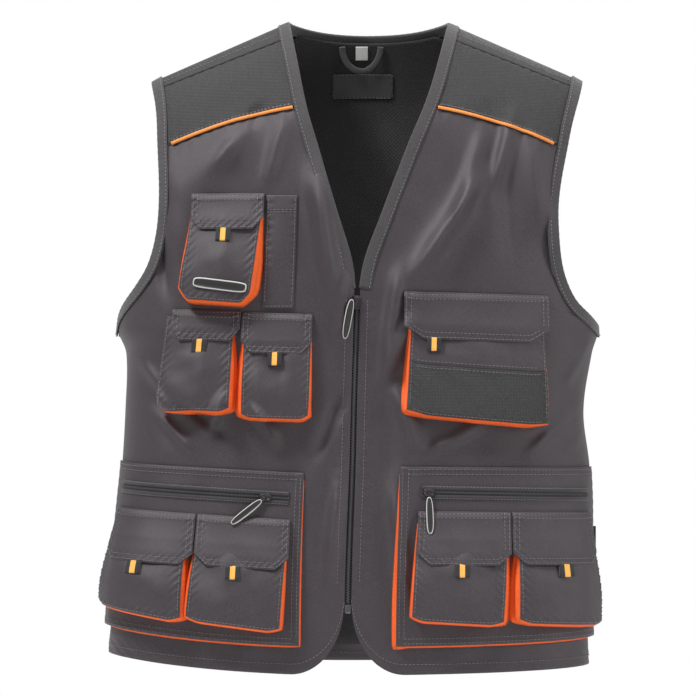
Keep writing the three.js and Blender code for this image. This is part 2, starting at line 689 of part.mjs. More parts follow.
// Base pockets: one flat pocket at each side of the hem, from near the zip round to the side seam
const basePocket = {
  inner: 52, // centre line to the pocket's inner edge
  top: 0.684, // its upper seam, as a share of bodyLength
  topFall: { right: 12, left: -2 }, // how much lower the upper seam lies at its inner end
  margin: 31, // its lower edge to the hem
  depth: 5,
  rest: 1, // how far its upper edge stands off the panel
  flare: 4, // how far its gusset spreads
  reach: 0.97, // how much of the way to the side seam it goes
};
const baseColumns = [0, 0.2, 0.4, 0.57, 0.71, 0.82, 0.92, 1];
const baseRows = [0, 0.22, 0.45, 0.7, 1];

const swell = (v) => 0.15 * Math.min(1, 5 * v) + 0.85 * smooth(v / 0.8);

function baseEnds(sign, distance) {
  const outer = (Math.PI / 2) * basePocket.reach;
  const topZ = -basePocket.top * bodyLength;
  const outerTop = Math.abs(girthOfAngle(front, sign * outer, topZ));
  const u = clamp((Math.abs(distance) - basePocket.inner) / (outerTop - basePocket.inner), 0, 1);
  const top = topZ + basePocket.topFall[sideName(sign)] * (0.5 - (1 - u));
  const x = bodyPoint(front, angleOfGirth(front, distance, -bodyLength), -bodyLength).x;
  return { top, foot: hemAt(sign, x) + basePocket.margin };
}

function baseSpot(sign, u, v) {
  let z = -bodyLength;
  let distance = 0;
  for (let i = 0; i < 4; i += 1) {
    const outer = Math.abs(girthOfAngle(front, (sign * Math.PI * basePocket.reach) / 2, z));
    distance = sign * lerp(basePocket.inner, outer, u);
    const ends = baseEnds(sign, distance);
    z = lerp(ends.top, ends.foot, v);
  }
  return { face: front, angle: angleOfGirth(front, distance, z), z, distance };
}

// Middle layer of the base pocket's front, out of the panel's middle layer
function baseOffset(sign, distance, z) {
  const ends = baseEnds(sign, distance);
  return cloth + gap + basePocket.rest + basePocket.depth * swell((ends.top - z) / (ends.top - ends.foot));
}

const baseLift = (sign) => (u, v) => {
  const spot = baseSpot(sign, u, v);
  return baseOffset(sign, spot.distance, spot.z);
};

function baseFront(sign, extra) {
  const lift = baseLift(sign);
  const wall = (u, v) => [lift(u, v) - cloth / 2 - extra, lift(u, v) + cloth / 2 + extra];
  return sheet(baseColumns, baseRows, (u, v) => baseSpot(sign, u, v), wall, { grow: extra });
}

// A gusset: a wall that stands on the cloth below and meets the inside of a pocket's front near its edge.
// Each spot has a distance and z, the seat and lift of the two cloths, and how far the wall's foot spreads.
const gussetInset = 2;

function gusset(spots) {
  const middle = spots.reduce((sum, spot) => sum + spot.distance, 0) / spots.length;
  const height = spots.reduce((sum, spot) => sum + spot.z, 0) / spots.length;
  const positions = [];
  spots.forEach((spot, i) => {
    const before = spots[Math.max(0, i - 1)];
    const after = spots[Math.min(spots.length - 1, i + 1)];
    const run = new THREE.Vector2(after.distance - before.distance, after.z - before.z).normalize();
    const out = new THREE.Vector2(-run.y, run.x);
    if (out.x * (spot.distance - middle) + out.y * (spot.z - height) < 0) out.negate();
    const corner = (spread, offset) =>
      place(front, spot.distance + out.x * spread, spot.z + out.y * spread, offset).toArray();
    const top = spot.lift - cloth / 2 - sewnRoom;
    positions.push(
      ...corner(spot.spread, spot.seat),
      ...corner(-gussetInset, top),
      ...corner(-gussetInset - cloth, top),
      ...corner(spot.spread - cloth, spot.seat),
    );
  });
  const faces = [];
  for (let j = 0; j < spots.length - 1; j += 1) {
    for (let i = 0; i < 4; i += 1) {
      const [a, b] = [4 * j + i, 4 * j + ((i + 1) % 4)];
      faces.push(a, b, b + 4, a, b + 4, a + 4);
    }
  }
  const end = 4 * (spots.length - 1);
  faces.push(2, 1, 0, 3, 2, 0, end, end + 1, end + 2, end, end + 2, end + 3);
  return closedGeometry(positions, faces);
}

for (const { name, sign } of sides) {
  room[`base_${name}`] = solidOf(baseFront(sign, sewnRoom));
  add(`base_pocket_front_${name}`, twill, cutClear(baseFront(sign, 0), [room[name]]));
  const edge = [
    ...baseRows.slice(1).map((v) => [0, v]),
    ...baseColumns.slice(1).map((u) => [u, 1]),
  ];
  const spots = edge.map(([u, v]) => {
    const spot = baseSpot(sign, u, v);
    const lift = baseOffset(sign, spot.distance, spot.z);
    return { ...spot, seat: 0, lift, spread: basePocket.flare * swell(v) * (u < 1 ? 1 : 0.5) };
  });
  add(`base_pocket_gusset_${name}`, orangeCloth, cutClear(gusset(spots), [room[name]]));
}

// Bellows pockets. A set sits at a distance from the centre line (of halfWidth) and a top (of bodyLength).
// Its pouches lie side by side, the outer one first: flap width and height, how far the pouch starts below
// the set's top, front width at its top and foot, shift of the front and lean of its foot outwards, height,
// tilt of its foot (rise per millimetre outwards), depth, chamfer of the foot's corners, spread of the
// gusset inwards, outwards and below, and the pull tab's place outwards of the flap's middle.
const pocketSets = [
  {
    name: "phone_pocket",
    sign: -1,
    centre: 0.548,
    top: 0.267,
    tilt: 0,
    pouches: [
      {
        part: "", flap: 79, flapDrop: 39, start: 0, width: 77, foot: 74, shift: 0, lean: 8, height: 116,
        footTilt: 0.07, depth: 20, chamfer: 12, inward: 9, outward: 2, below: 5, tab: 2,
      },
    ],
  },
  {
    name: "middle_pocket",
    sign: -1,
    centre: 0.473,
    top: 0.446,
    tilt: 0.03,
    pouches: [
      {
        part: "_outer", flap: 75, flapDrop: 32, start: 0, width: 74, foot: 75, shift: 7, lean: 2, height: 108,
        footTilt: 0, depth: 17, chamfer: 4, inward: 8, outward: 2, below: 5, tab: 5,
      },
      {
        part: "_inner", flap: 76, flapDrop: 43, start: 1, width: 72, foot: 72, shift: -1, lean: 0, height: 113,
        footTilt: 0, depth: 17, chamfer: 4, inward: 2, outward: 8, below: 4, tab: 1,
      },
    ],
  },
  {
    name: "chest_pocket",
    sign: 1,
    centre: 0.495,
    top: 0.419,
    tilt: -0.03,
    pouches: [
      {
        part: "", flap: 157, flapDrop: 50, start: 0, width: 142, foot: 150, shift: 1, lean: 1, height: 136,
        footTilt: -0.065, depth: 15, chamfer: 3, inward: 6, outward: 2, below: 4, tab: -46, split: 0.56,
      },
    ],
  },
  {
    name: "lower_pocket_right",
    sign: -1,
    centre: 0.63,
    top: 0.755,
    tilt: 0.06,
    base: "right",
    pouches: [
      {
        part: "_outer", flap: 99, flapDrop: 56, start: 0, width: 95, foot: 94, shift: 7, lean: 1, height: 111,
        footTilt: 0.12, depth: 17, chamfer: 5, inward: 6, outward: 1, below: 3, tab: 8,
      },
      {
        part: "_inner", flap: 100, flapDrop: 55, start: 0, width: 96, foot: 98, shift: 0, lean: 7, height: 117,
        footTilt: 0.07, depth: 17, chamfer: 4, inward: 3, outward: 6, below: 3, tab: 8,
      },
    ],
  },
  {
    name: "lower_pocket_left",
    sign: 1,
    centre: 0.66,
    top: 0.752,
    tilt: -0.01,
    base: "left",
    pouches: [
      {
        part: "_outer", flap: 99, flapDrop: 57, start: 0, width: 94, foot: 94, shift: 5, lean: 0, height: 121,
        footTilt: -0.05, depth: 17, chamfer: 4, inward: 9, outward: 1, below: 3, tab: 4,
      },
      {
        part: "_inner", flap: 100, flapDrop: 58, start: 0, width: 97, foot: 96, shift: -1, lean: -5, height: 119,
        footTilt: -0.05, depth: 17, chamfer: 4, inward: 2, outward: 9, below: 3, tab: -2,
      },
    ],
  },
];
const pairGap = 1.2; // between the two flaps of a double pocket
const frontStart = 8; // a set's top to the top edge of its pouches' fronts
const flapWall = 1.4;
const flapChamfer = 12;
const frontClear = 1.4; // the upper edge of a pouch's front to what lies under it
const flapClear = 1.2; // a pouch's front to its flap
const tab = { width: 15, height: 13, wall: 1.6, clear: 0.7 };

const pouchColumns = [0, 0.14, 0.38, 0.62, 0.86, 1];
const pouchRows = [0, 0.22, 0.45, 0.7, 1];
const flapColumns = [0, 0.13, 0.36, 0.64, 0.87, 1];

// Where a pouch's parts lie: across runs from 0 at its inner edge to 1 at its outer one
function pouchPlan(set, index) {
  const row = set.pouches[index];
  const aside = set.pouches.length > 1 ? (index === 0 ? 1 : -1) : 0;
  const flapMiddle = set.centre * halfWidth + (aside * (row.flap + pairGap)) / 2;
  const topAt = (distance) =>
    -set.top * bodyLength - row.start + set.tilt * (distance - set.centre * halfWidth);
  const frontMiddle = (v) => flapMiddle + row.shift + row.lean * v;
  const frontWidth = (v) => lerp(row.width, row.foot, v);
  const seat = (distance, z) => (set.base ? baseOffset(set.sign, set.sign * distance, z) : 0);
  const crown = (across) => 0.8 + 0.2 * Math.sin(Math.PI * clamp(across, 0, 1));
  const lift = (distance, z) => {
    const v = clamp((topAt(distance) - frontStart - z) / (row.height - frontStart), 0, 1);
    const across = (distance - frontMiddle(v)) / frontWidth(v) + 0.5;
    return seat(distance, z) + cloth + frontClear + row.depth * swell(v) * crown(across);
  };
  return { row, sign: set.sign, flapMiddle, topAt, frontMiddle, frontWidth, seat, lift };
}

function spotAt(plan, distance, z) {
  return { face: front, angle: angleOfGirth(front, plan.sign * distance, z), z, distance };
}

function pouchSpot(plan, u, v) {
  const { row } = plan;
  const distance = plan.frontMiddle(v) + (u - 0.5) * plan.frontWidth(v);
  const start = plan.topAt(distance) - frontStart;
  const foot = plan.topAt(distance) - row.height + row.footTilt * (distance - plan.frontMiddle(1));
  const cut = u === 0 || u === 1 ? row.chamfer : 0;
  return spotAt(plan, distance, lerp(start, foot + cut, v));
}

function pouchFront(plan, rows, extra = 0) {
  const wall = (u, v) => {
    const spot = pouchSpot(plan, u, v);
    const lift = plan.lift(spot.distance, spot.z);
    return [lift - cloth / 2 - extra, lift + cloth / 2 + extra];
  };
  return sheet(pouchColumns, rows, (u, v) => pouchSpot(plan, u, v), wall, { grow: extra });
}

function pouchGusset(plan) {
  const { row } = plan;
  const down = pouchRows.slice(1);
  const edge = [
    ...down.map((v) => [0, v]),
    ...pouchColumns.slice(1, -1).map((u) => [u, 1]),
    ...down.toReversed().map((v) => [1, v]),
  ];
  const spots = edge.map(([u, v]) => {
    const spot = pouchSpot(plan, u, v);
    const spread = u === 0 ? row.inward : u === 1 ? row.outward : row.below;
    return {
      distance: plan.sign * spot.distance,
      z: spot.z,
      seat: plan.seat(spot.distance, spot.z),
      lift: plan.lift(spot.distance, spot.z),
      spread: spread * swell(v),
    };
  });
  return solidOf(gusset(spots));
}

const flapRows = [0, 0.2, 0.6, 1];

function flapSpot(plan, u, v) {
  const distance = plan.flapMiddle + (u - 0.5) * plan.row.flap;
  const cut = u === 0 || u === 1 ? flapChamfer : 0;
  return spotAt(plan, distance, plan.topAt(distance) - (plan.row.flapDrop - cut) * v);
}

function flap(plan) {
  const wall = (u, v) => {
    const spot = flapSpot(plan, u, v);
    const lift = plan.lift(spot.distance, spot.z) + cloth / 2 + flapClear;
    const inner = v === 0 ? plan.seat(spot.distance, spot.z) + cloth / 2 + gap : lift;
    return [inner, Math.max(lift, inner) + flapWall];
  };
  return sheet(flapColumns, flapRows, (u, v) => flapSpot(plan, u, v), wall);
}

function pullTab(plan) {
  const middle = plan.flapMiddle + plan.row.tab;
  const top = plan.topAt(middle) - plan.row.flapDrop - 2 * gap;
  const at = (u, v) => spotAt(plan, middle + (u - 0.5) * tab.width, top - v * tab.height);
  const wall = (u, v) => {
    const spot = at(u, v);
    const inner = plan.lift(spot.distance, spot.z) + cloth / 2 + tab.clear;
    return [inner, inner + tab.wall];
  };
  return sheet([0, 1], [0, 1], at, wall);
}

for (const set of pocketSets) {
  const under = set.base ? [room[`base_${set.base}`]] : [room[sideName(set.sign)]];
  const plans = set.pouches.map((_, index) => pouchPlan(set, index));
  for (const plan of plans) {
    const name = `${set.name}${plan.row.part}`;
    const { split } = plan.row;
    if (split) {
      const seam = gap / 2 / plan.row.height;
      const upper = [...pouchRows.filter((v) => v < split), split - seam];
      const lower = [split + seam, ...pouchRows.filter((v) => v > split)];
      add(`${name}_front_upper`, twill, pouchFront(plan, upper));
      add(`${name}_front_lower`, oxford, pouchFront(plan, lower));
    } else {
      add(`${name}_front`, twill, pouchFront(plan, pouchRows));
    }
    const beneath = solidOf(pouchFront(plan, pouchRows, gap));
    add(`${name}_flap`, twill, cutClear(flap(plan), [...under, beneath]));
    add(`${name}_tab`, webbing, pullTab(plan));
  }
  const bellows = plans.map(pouchGusset).reduce((sum, next) => sum.add(next));
  add(`${set.name}_gusset`, orangeCloth, cutClear(geometryOfSolid(bellows), under));
}

// Pen pocket, flat beside the phone pocket
const penPocket = { width: 34, height: 122, depth: 3, start: 2, clear: 2 };
{
  const beside = pouchPlan(pocketSets[0], 0);
  const outer = beside.flapMiddle - beside.row.flap / 2 - penPocket.clear;
  const top = beside.topAt(beside.flapMiddle) - penPocket.start;
  const at = (u, v) => {
    const z = top - v * penPocket.height;
    return { face: front, angle: angleOfGirth(front, beside.sign * (outer - (1 - u) * penPocket.width), z), z };
  };
  const wall = (u, v) => {
    const lift = cloth / 2 + gap + penPocket.depth * Math.sin(Math.PI * u) * Math.sin(Math.PI * v);
    return [lift, lift + cloth];
  };
  add("pen_pocket", twill, cutClear(sheet([0, 0.35, 0.65, 1], [0, 0.33, 0.66, 1], at, wall), [room.right]));
}

// Zips lie along a line of places round the body, with a profile of [across, out] pairs
function zipStations(spots) {
  const aside = (point) => point.clone().add(new THREE.Vector3(0, 0, bodyLength));
  return edgeStations(spots, aside);
}

// A box on the cloth: a middle place, half its length and width, the way it leans from upright in degrees,
// its inner and outer offsets, the corners cut off, and how much further out its lower end stands
function plate({ distance, z, length, width, lean, inner, outer, corner = 0, tip = 0 }) {
  const turn = THREE.MathUtils.degToRad(lean);
  const [half, wide] = [length / 2, width / 2];
  const cut = Math.min(corner, wide * 0.9);
  const outline = [
    [-wide + cut, half],
    [wide - cut, half],
    [wide, half - cut],
    [wide, -half + cut],
    [wide - cut, -half],
    [-wide + cut, -half],
    [-wide, -half + cut],
    [-wide, half - cut],
  ];
  const across = outline.map(([a, b]) => [
    distance + a * Math.cos(turn) + b * Math.sin(turn),
    z - a * Math.sin(turn) + b * Math.cos(turn),
  ]);
  const positions = [inner, outer].flatMap((offset) =>
    across.flatMap(([d, h], i) => place(front, d, h, offset + tip * (0.5 - outline[i][1] / length)).toArray()),
  );
  const faces = [];
  for (let i = 0; i < 8; i += 1) {
    const k = (i + 1) % 8;
    faces.push(i, k, 8 + k, i, 8 + k, 8 + i);
  }
  for (let i = 1; i < 7; i += 1) faces.push(0, i + 1, i, 8, 8 + i, 8 + i + 1);
  return closedGeometry(positions, faces);
}

// Main zip: tape behind the fronts' edges, teeth standing up in the slot between them
const mainZip = { tape: 13, tapeWall: 0.8, behind: 1.2, teeth: 1.7, rise: 0.9, top: 12, foot: 78 };
{
  const at = (z) => ({ face: front, angle: angleOfGirth(front, 0, z), z });
  const heights = Array.from({ length: 15 }, (_, i) => lerp(-neckDepth - mainZip.top, -bodyLength + mainZip.foot, i / 14));
  const seat = -cloth / 2 - mainZip.behind;
  const profile = [
    [-mainZip.tape, seat],
    [-mainZip.teeth, seat],
    [-mainZip.teeth, mainZip.rise],
    [mainZip.teeth, mainZip.rise],
    [mainZip.teeth, seat],
    [mainZip.tape, seat],
    [mainZip.tape, seat - mainZip.tapeWall],
    [-mainZip.tape, seat - mainZip.tapeWall],
  ];
  const aside = (point) => point.clone().add(new THREE.Vector3(bodyLength, 0, 0));
  add("main_zip", zipTape, sweep(edgeStations(heights.map(at), aside), profile));
}
const slider = { length: 15, width: 9, wall: 2.2, clear: 0.5 };
const puller = { length: 44, width: 8.2, wall: 1.8, clear: 0.4 };
const overTeeth = mainZip.rise + slider.clear;
const sliderTop = -neckDepth + 4;
add(
  "main_zip_slider",
  zipMetal,
  plate({
    distance: 0,
    z: sliderTop - slider.length / 2 - mainZip.top,
    length: slider.length,
    width: slider.width,
    lean: 0,
    inner: overTeeth,
    outer: overTeeth + slider.wall,
    corner: 2,
  }),
);
const pullerSeat = overTeeth + slider.wall + puller.clear;
add(
  "main_zip_puller",
  rubber,
  plate({
    distance: -9,
    z: sliderTop - slider.length - puller.length / 2,
    length: puller.length,
    width: puller.width,
    lean: 8,
    inner: pullerSeat,
    outer: pullerSeat + puller.wall,
    corner: 2,
  }),
);
const pinBox = { length: 9.5, width: 7, wall: 2.6, below: 2 };
add(
  "zip_pin_box",
  zipMetal,
  plate({
    distance: 0,
    z: -bodyLength + mainZip.foot - pinBox.below - pinBox.length / 2,
    length: pinBox.length,
    width: pinBox.width,
    lean: 0,
    inner: -pinBox.wall / 2,
    outer: pinBox.wall / 2,
    corner: 1,
  }),
);

// Zips of the base pockets, on their fronts, each slider with its puller
const baseZip = { half: 6.5, wall: 1, teeth: 2, rise: 1, ends: 8 };
const baseZips = [
  { name: "right", sign: -1, from: 262, to: 67, fromZ: -506, toZ: -518, sliderAt: 0.87, lean: 50, tip: 4.5 },
  { name: "left", sign: 1, from: 270, to: 76, fromZ: -515, toZ: -511, sliderAt: 0.96, lean: -3, tip: 7 },
];
for (const { name, sign, from, to, fromZ, toZ, sliderAt, lean, tip } of baseZips) {
  const spotOn = (t) => {
    const distance = sign * lerp(from, to, t);
    const z = lerp(fromZ, toZ, t);
    return { face: front, angle: angleOfGirth(front, distance, z), z, distance, lift: baseOffset(sign, distance, z) };
  };
  const spots = Array.from({ length: 15 }, (_, i) => spotOn(i / 14));
  const stations = zipStations(spots).map((station, i) => ({
    ...station,
    point: station.point.clone().addScaledVector(station.normal, spots[i].lift + cloth / 2 + gap),
  }));
  const profile = [
    [-baseZip.half, 0],
    [baseZip.half, 0],
    [baseZip.half, baseZip.wall],
    [baseZip.teeth, baseZip.wall],
    [baseZip.teeth, baseZip.wall + baseZip.rise],
    [-baseZip.teeth, baseZip.wall + baseZip.rise],
    [-baseZip.teeth, baseZip.wall],
    [-baseZip.half, baseZip.wall],
  ];
  add(`base_zip_${name}`, zipTape, cutClear(sweep(stations, profile), [room[`base_${name}`]]));
  const spot = spotOn(sliderAt);
  const seat = spot.lift + cloth / 2 + gap + baseZip.wall + baseZip.rise + slider.clear;
  const body = plate({
    distance: spot.distance,
    z: spot.z,
    length: slider.width,
    width: slider.length,
    lean: 0,
    inner: seat,
    outer: seat + slider.wall,
    corner: 2,
  });
  const turn = THREE.MathUtils.degToRad(lean);
  const pull = plate({
    distance: spot.distance - (Math.sin(turn) * puller.length) / 2,
    z: spot.z - (Math.cos(turn) * puller.length) / 2,
    length: puller.length,
    width: puller.width,
    lean,
    inner: seat + slider.wall - 0.2,
    outer: seat + slider.wall + puller.wall,
    corner: 2,
    tip,
  });
  add(`base_zip_slider_${name}`, zipMetal, geometryOfSolid(solidOf(body).add(solidOf(pull))));
}

// Blank badge across the phone pocket
add(
  "phone_pocket_badge",
  rubber,
  (() => {
    const plan = pouchPlan(pocketSets[0], 0);
    const badge = { width: 56, height: 11.4, wall: 1.2, down: 93, aside: 2, tilt: 7 };
    const middle = plan.flapMiddle + badge.aside;
    const slope = Math.tan(THREE.MathUtils.degToRad(badge.tilt));
    const at = (u, v) => {
      const distance = middle + (u - 0.5) * badge.width;
      const z = plan.topAt(distance) - badge.down + (u - 0.5) * badge.width * slope - v * badge.height;
      return spotAt(plan, distance, z);
    };
    const wall = (u, v) => {
      const spot = at(u, v);
      const inner = plan.lift(spot.distance, spot.z) + cloth / 2;
      return [inner, inner + badge.wall];
    };
    const beneath = solidOf(pouchFront(plan, pouchRows, gap));
    return cutClear(sheet([0, 0.25, 0.5, 0.75, 1], [0, 1], at, wall), [beneath]);
  })(),
);

// Inside the back neck: hanger loop, size tag and neck label, on the lining
const liningInside = -liningDepth - liningWall / 2;
const backSpotAt = (x, z) => ({ face: back, angle: angleOfX(x, z), z });
const loop = { centre: -7, top: -19, half: 22.5, drop: 26, strip: 7, wall: 1.5, clear: 0.9, bow: 5 };
{
  const spots = Array.from({ length: 11 }, (_, i) => {
    const turn = (i / 10) * Math.PI;
    return backSpotAt(loop.centre - loop.half * Math.cos(turn), loop.top - loop.drop * Math.sin(turn));
  });
  const inside = () => bodyPoint(back, angleOfX(loop.centre, loop.top), loop.top);
  const stations = edgeStations(spots, inside).map((station, i) => ({
    ...station,
    point: station.point
      .clone()
      .addScaledVector(station.normal, liningInside - loop.clear - loop.bow * Math.sin((i / 10) * Math.PI)),
  }));
  const profile = [
    [-loop.strip / 2, 0],
    [loop.strip / 2, 0],
    [loop.strip / 2, -loop.wall],
    [-loop.strip / 2, -loop.wall],
  ];
  add("hanger_loop", webbing, cutClear(sweep(stations, profile), [room.lining]));
}

// A patch from one x to another on the lining, which is cut from its outer face
function insidePatch({ from, to, top, height, wall }) {
  const middle = (0 - from) / (to - from);
  const at = (u, v) => backSpotAt(lerp(from, to, u), top - v * height);
  const patch = sheet([0, middle, 1], [0, 0.5, 1], at, () => [liningInside - wall, liningInside + gap]);
  return cutClear(patch, [room.lining]);
}
add("size_tag", tagCloth, insidePatch({ from: -14, to: 0.6, top: -19, height: 15, wall: 1.2 }));
add("neck_label", labelCloth, insidePatch({ from: -39, to: 28, top: -50, height: 26, wall: 1.4 }));

// Flag tag in the left side seam
const flag = { out: 7, wall: 1.2, height: 45, top: 0.778 };
{
  const z = -flag.top * bodyLength;
  const side = bodyPoint(front, Math.PI / 2, z).x;
  const shape = new THREE.BoxGeometry(flag.out, flag.wall, flag.height);
  shape.translate(side + cloth / 2 + 2 * gap + flag.out / 2, 0, z - flag.height / 2);
  add("side_flag_tag", labelCloth, shape);
}

export default group;
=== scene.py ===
import math

import bpy
import mathutils
import numpy as np
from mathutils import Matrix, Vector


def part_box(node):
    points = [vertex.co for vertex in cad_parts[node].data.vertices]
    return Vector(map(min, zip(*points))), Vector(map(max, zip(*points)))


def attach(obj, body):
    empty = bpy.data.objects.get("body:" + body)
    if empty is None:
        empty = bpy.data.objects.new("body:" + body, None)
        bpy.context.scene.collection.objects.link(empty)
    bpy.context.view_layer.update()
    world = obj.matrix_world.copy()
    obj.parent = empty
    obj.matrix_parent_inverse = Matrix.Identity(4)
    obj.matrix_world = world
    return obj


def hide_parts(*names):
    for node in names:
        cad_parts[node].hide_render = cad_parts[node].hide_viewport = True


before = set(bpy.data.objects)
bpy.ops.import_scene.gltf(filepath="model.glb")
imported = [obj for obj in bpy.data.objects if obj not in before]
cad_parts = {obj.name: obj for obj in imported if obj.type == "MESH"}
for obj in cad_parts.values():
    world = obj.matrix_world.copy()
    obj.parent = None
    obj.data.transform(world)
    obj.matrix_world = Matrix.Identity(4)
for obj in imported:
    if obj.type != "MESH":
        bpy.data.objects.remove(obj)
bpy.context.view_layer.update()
mm = 0.001

# Body
cloth = 1 * mm
bodyLength = 708 * mm
halfWidth = 262 * mm
frontDepth = 95 * mm
backDepth = 85 * mm
sideFullness = 0.15
faceFullness = 0.35
shoulderSpan = 235 * mm
shoulderFall = 64 * mm
shoulderRound = 140 * mm
neckHalf = 88 * mm
neckDepth = 291 * mm
backNeckDrop = 11 * mm
armholeDepth = 269 * mm
yokeNeckDrop = 94 * mm
yokeArmDrop = 141 * mm
yokeBow = 6 * mm
strapNeckDrop = 19 * mm
strapArmDrop = 12 * mm
backYokeDrop = 150 * mm
backLap = 1.5 * mm  # the back yoke's edge below its seam
backTuck = 10.5 * mm  # the back panel's edge above it
seamHalf = 0.4 * mm  # half the gap between two panels
sideShort = 0.0016  # radians that a panel stops short of the side seam
hemSideRise = {-1: 20 * mm, 1: 7 * mm}
frontCorner = {"run": 58 * mm, "rise": 79 * mm}
backHemLift = 4 * mm
zipSlotTop = 2.4 * mm
zipSlotFoot = 3.8 * mm
front, back = -1, 1
sideNames = {-1: "right", 1: "left"}
armholeFoot = -(shoulderFall + armholeDepth)

def readRows(keys, rows):
    return [dict(zip(keys, row)) for row in rows]


# From the neck point (0) to the hem (1): shares of halfWidth, frontDepth and backDepth
sections = readRows(("at", "centre", "right", "left", "front", "back"), [
    (0, 0.004, 1.03, 1.03, 0.8, 0.88),
    (0.09, -0.004, 1.0, 1.0, 0.86, 0.94),
    (0.175, -0.019, 0.962, 0.962, 0.93, 1.0),
    (0.3, -0.035, 0.955, 0.955, 1.0, 1.0),
    (0.47, -0.049, 0.996, 1.013, 0.99, 0.93),
    (0.51, -0.052, 0.957, 0.988, 0.97, 0.9),
    (0.6, -0.059, 0.954, 0.96, 0.94, 0.86),
    (0.69, -0.065, 0.962, 0.992, 0.94, 0.9),
    (0.81, -0.078, 0.97, 1.0, 0.98, 0.98),
    (0.91, -0.084, 0.985, 1.0, 1.0, 1.02),
    (1, -0.085, 1.005, 1.01, 1.0, 1.04),
])
armholeEdge = readRows(("at", "right", "left"), [
    (0, 0.896, 0.897),
    (0.1, 0.884, 0.892),
    (0.25, 0.882, 0.882),
    (0.5, 0.866, 0.856),
    (0.65, 0.87, 0.852),
    (0.75, 0.888, 0.855),
    (0.83, 0.928, 0.872),
    (0.9, 0.972, 0.905),
    (0.95, 0.993, 0.955),
    (1, 1, 1),
])
neckEdge = readRows(("at", "reach"), [
    (0, 1),
    (0.13, 0.9),
    (0.3, 0.76),
    (0.475, 0.565),
    (0.62, 0.405),
    (0.76, 0.245),
    (0.87, 0.115),
    (0.94, 0.06),
    (1, 0.04),
])
# The large folds: x of halfWidth, down of bodyLength, lean in degrees, reach, width and rise of frontDepth
folds = readRows(("face", "x", "down", "lean", "reach", "width", "rise"), [
    (-1, -0.6, 0.21, 33, 0.06, 0.075, 0.06),
    (-1, -0.16, 0.33, -12, 0.1, 0.06, 0.055),
    (-1, -0.79, 0.29, 0, 0.07, 0.07, 0.05),
    (-1, -0.84, 0.6, -30, 0.05, 0.06, -0.06),
    (-1, -0.2, 0.66, 10, 0.07, 0.05, 0.03),
    (-1, 0.27, 0.35, 31, 0.09, 0.075, 0.08),
    (-1, 0.5, 0.2, 5, 0.07, 0.065, -0.045),
    (-1, 0.68, 0.24, -7, 0.1, 0.065, 0.06),
    (-1, 0.82, 0.6, 35, 0.05, 0.06, -0.06),
    (-1, 0.15, 0.68, 4, 0.08, 0.05, 0.05),
    (1, -0.42, 0.62, 6, 0.16, 0.1, 0.07),
    (1, 0.4, 0.6, -6, 0.17, 0.1, 0.07),
    (1, 0.02, 0.7, 2, 0.16, 0.12, -0.06),
    (1, -0.55, 0.32, -18, 0.09, 0.08, 0.05),
    (1, 0.55, 0.33, 18, 0.09, 0.08, 0.05),
])
# Small creases on top of them, same columns, in shares that creaseShare multiplies
creaseShare = 4.2
creases = readRows(("face", "x", "down", "lean", "reach", "width", "rise"), [
    (-1, -0.86, 0.56, -38, 0.045, 0.022, 0.022),
    (-1, -0.8, 0.63, -44, 0.04, 0.02, 0.02),
    (-1, -0.68, 0.61, -50, 0.04, 0.02, -0.018),
    (-1, -0.5, 0.16, 40, 0.035, 0.03, -0.022),
    (-1, -0.38, 0.2, 14, 0.05, 0.03, 0.018),
    (-1, -0.85, 0.36, -8, 0.06, 0.025, -0.022),
    (-1, -0.1, 0.44, 6, 0.05, 0.022, 0.016),
    (-1, 0.12, 0.5, 24, 0.05, 0.025, 0.02),
    (-1, 0.42, 0.24, 16, 0.07, 0.035, 0.022),
    (-1, 0.58, 0.29, -4, 0.07, 0.045, -0.012),
    (-1, 0.78, 0.33, -14, 0.05, 0.025, 0.022),
    (-1, 0.88, 0.52, 30, 0.04, 0.022, 0.024),
    (-1, 0.76, 0.63, 48, 0.045, 0.02, 0.02),
    (-1, 0.9, 0.63, 40, 0.04, 0.022, 0.022),
    (-1, 0.36, 0.64, 60, 0.05, 0.025, 0.014),
    (-1, -0.18, 0.33, -8, 0.09, 0.04, 0.03),
    (-1, -0.56, 0.19, 38, 0.05, 0.03, 0.026),
    (-1, 0.56, 0.2, 14, 0.06, 0.03, 0.026),
    (-1, 0.7, 0.25, -6, 0.07, 0.04, 0.018),
    (-1, 0.34, 0.31, 34, 0.09, 0.035, 0.026),
    (-1, 0.1, 0.46, 8, 0.07, 0.03, 0.024),
    (-1, 0.16, 0.61, -20, 0.05, 0.03, 0.024),
    (-1, -0.62, 0.6, 28, 0.035, 0.025, 0.022),
    (-1, -0.42, 0.62, -32, 0.035, 0.022, 0.018),
    (-1, -0.16, 0.62, 24, 0.05, 0.03, -0.02),
    (-1, -0.14, 0.78, 6, 0.08, 0.03, 0.02),
    (-1, 0.13, 0.8, -6, 0.08, 0.03, 0.022),
    (1, -0.2, 0.45, 20, 0.1, 0.04, 0.03),
    (1, 0.25, 0.5, -16, 0.1, 0.04, 0.03),
    (1, 0.7, 0.6, 30, 0.06, 0.03, 0.03),
    (1, -0.72, 0.58, -30, 0.06, 0.03, 0.03),
    (1, 0, 0.86, 8, 0.1, 0.05, -0.03),
])


def lerp(a, b, t):
    return a + (b - a) * t


def smooth(t):
    t = np.clip(t, 0, 1)
    return t * t * (3 - 2 * t)


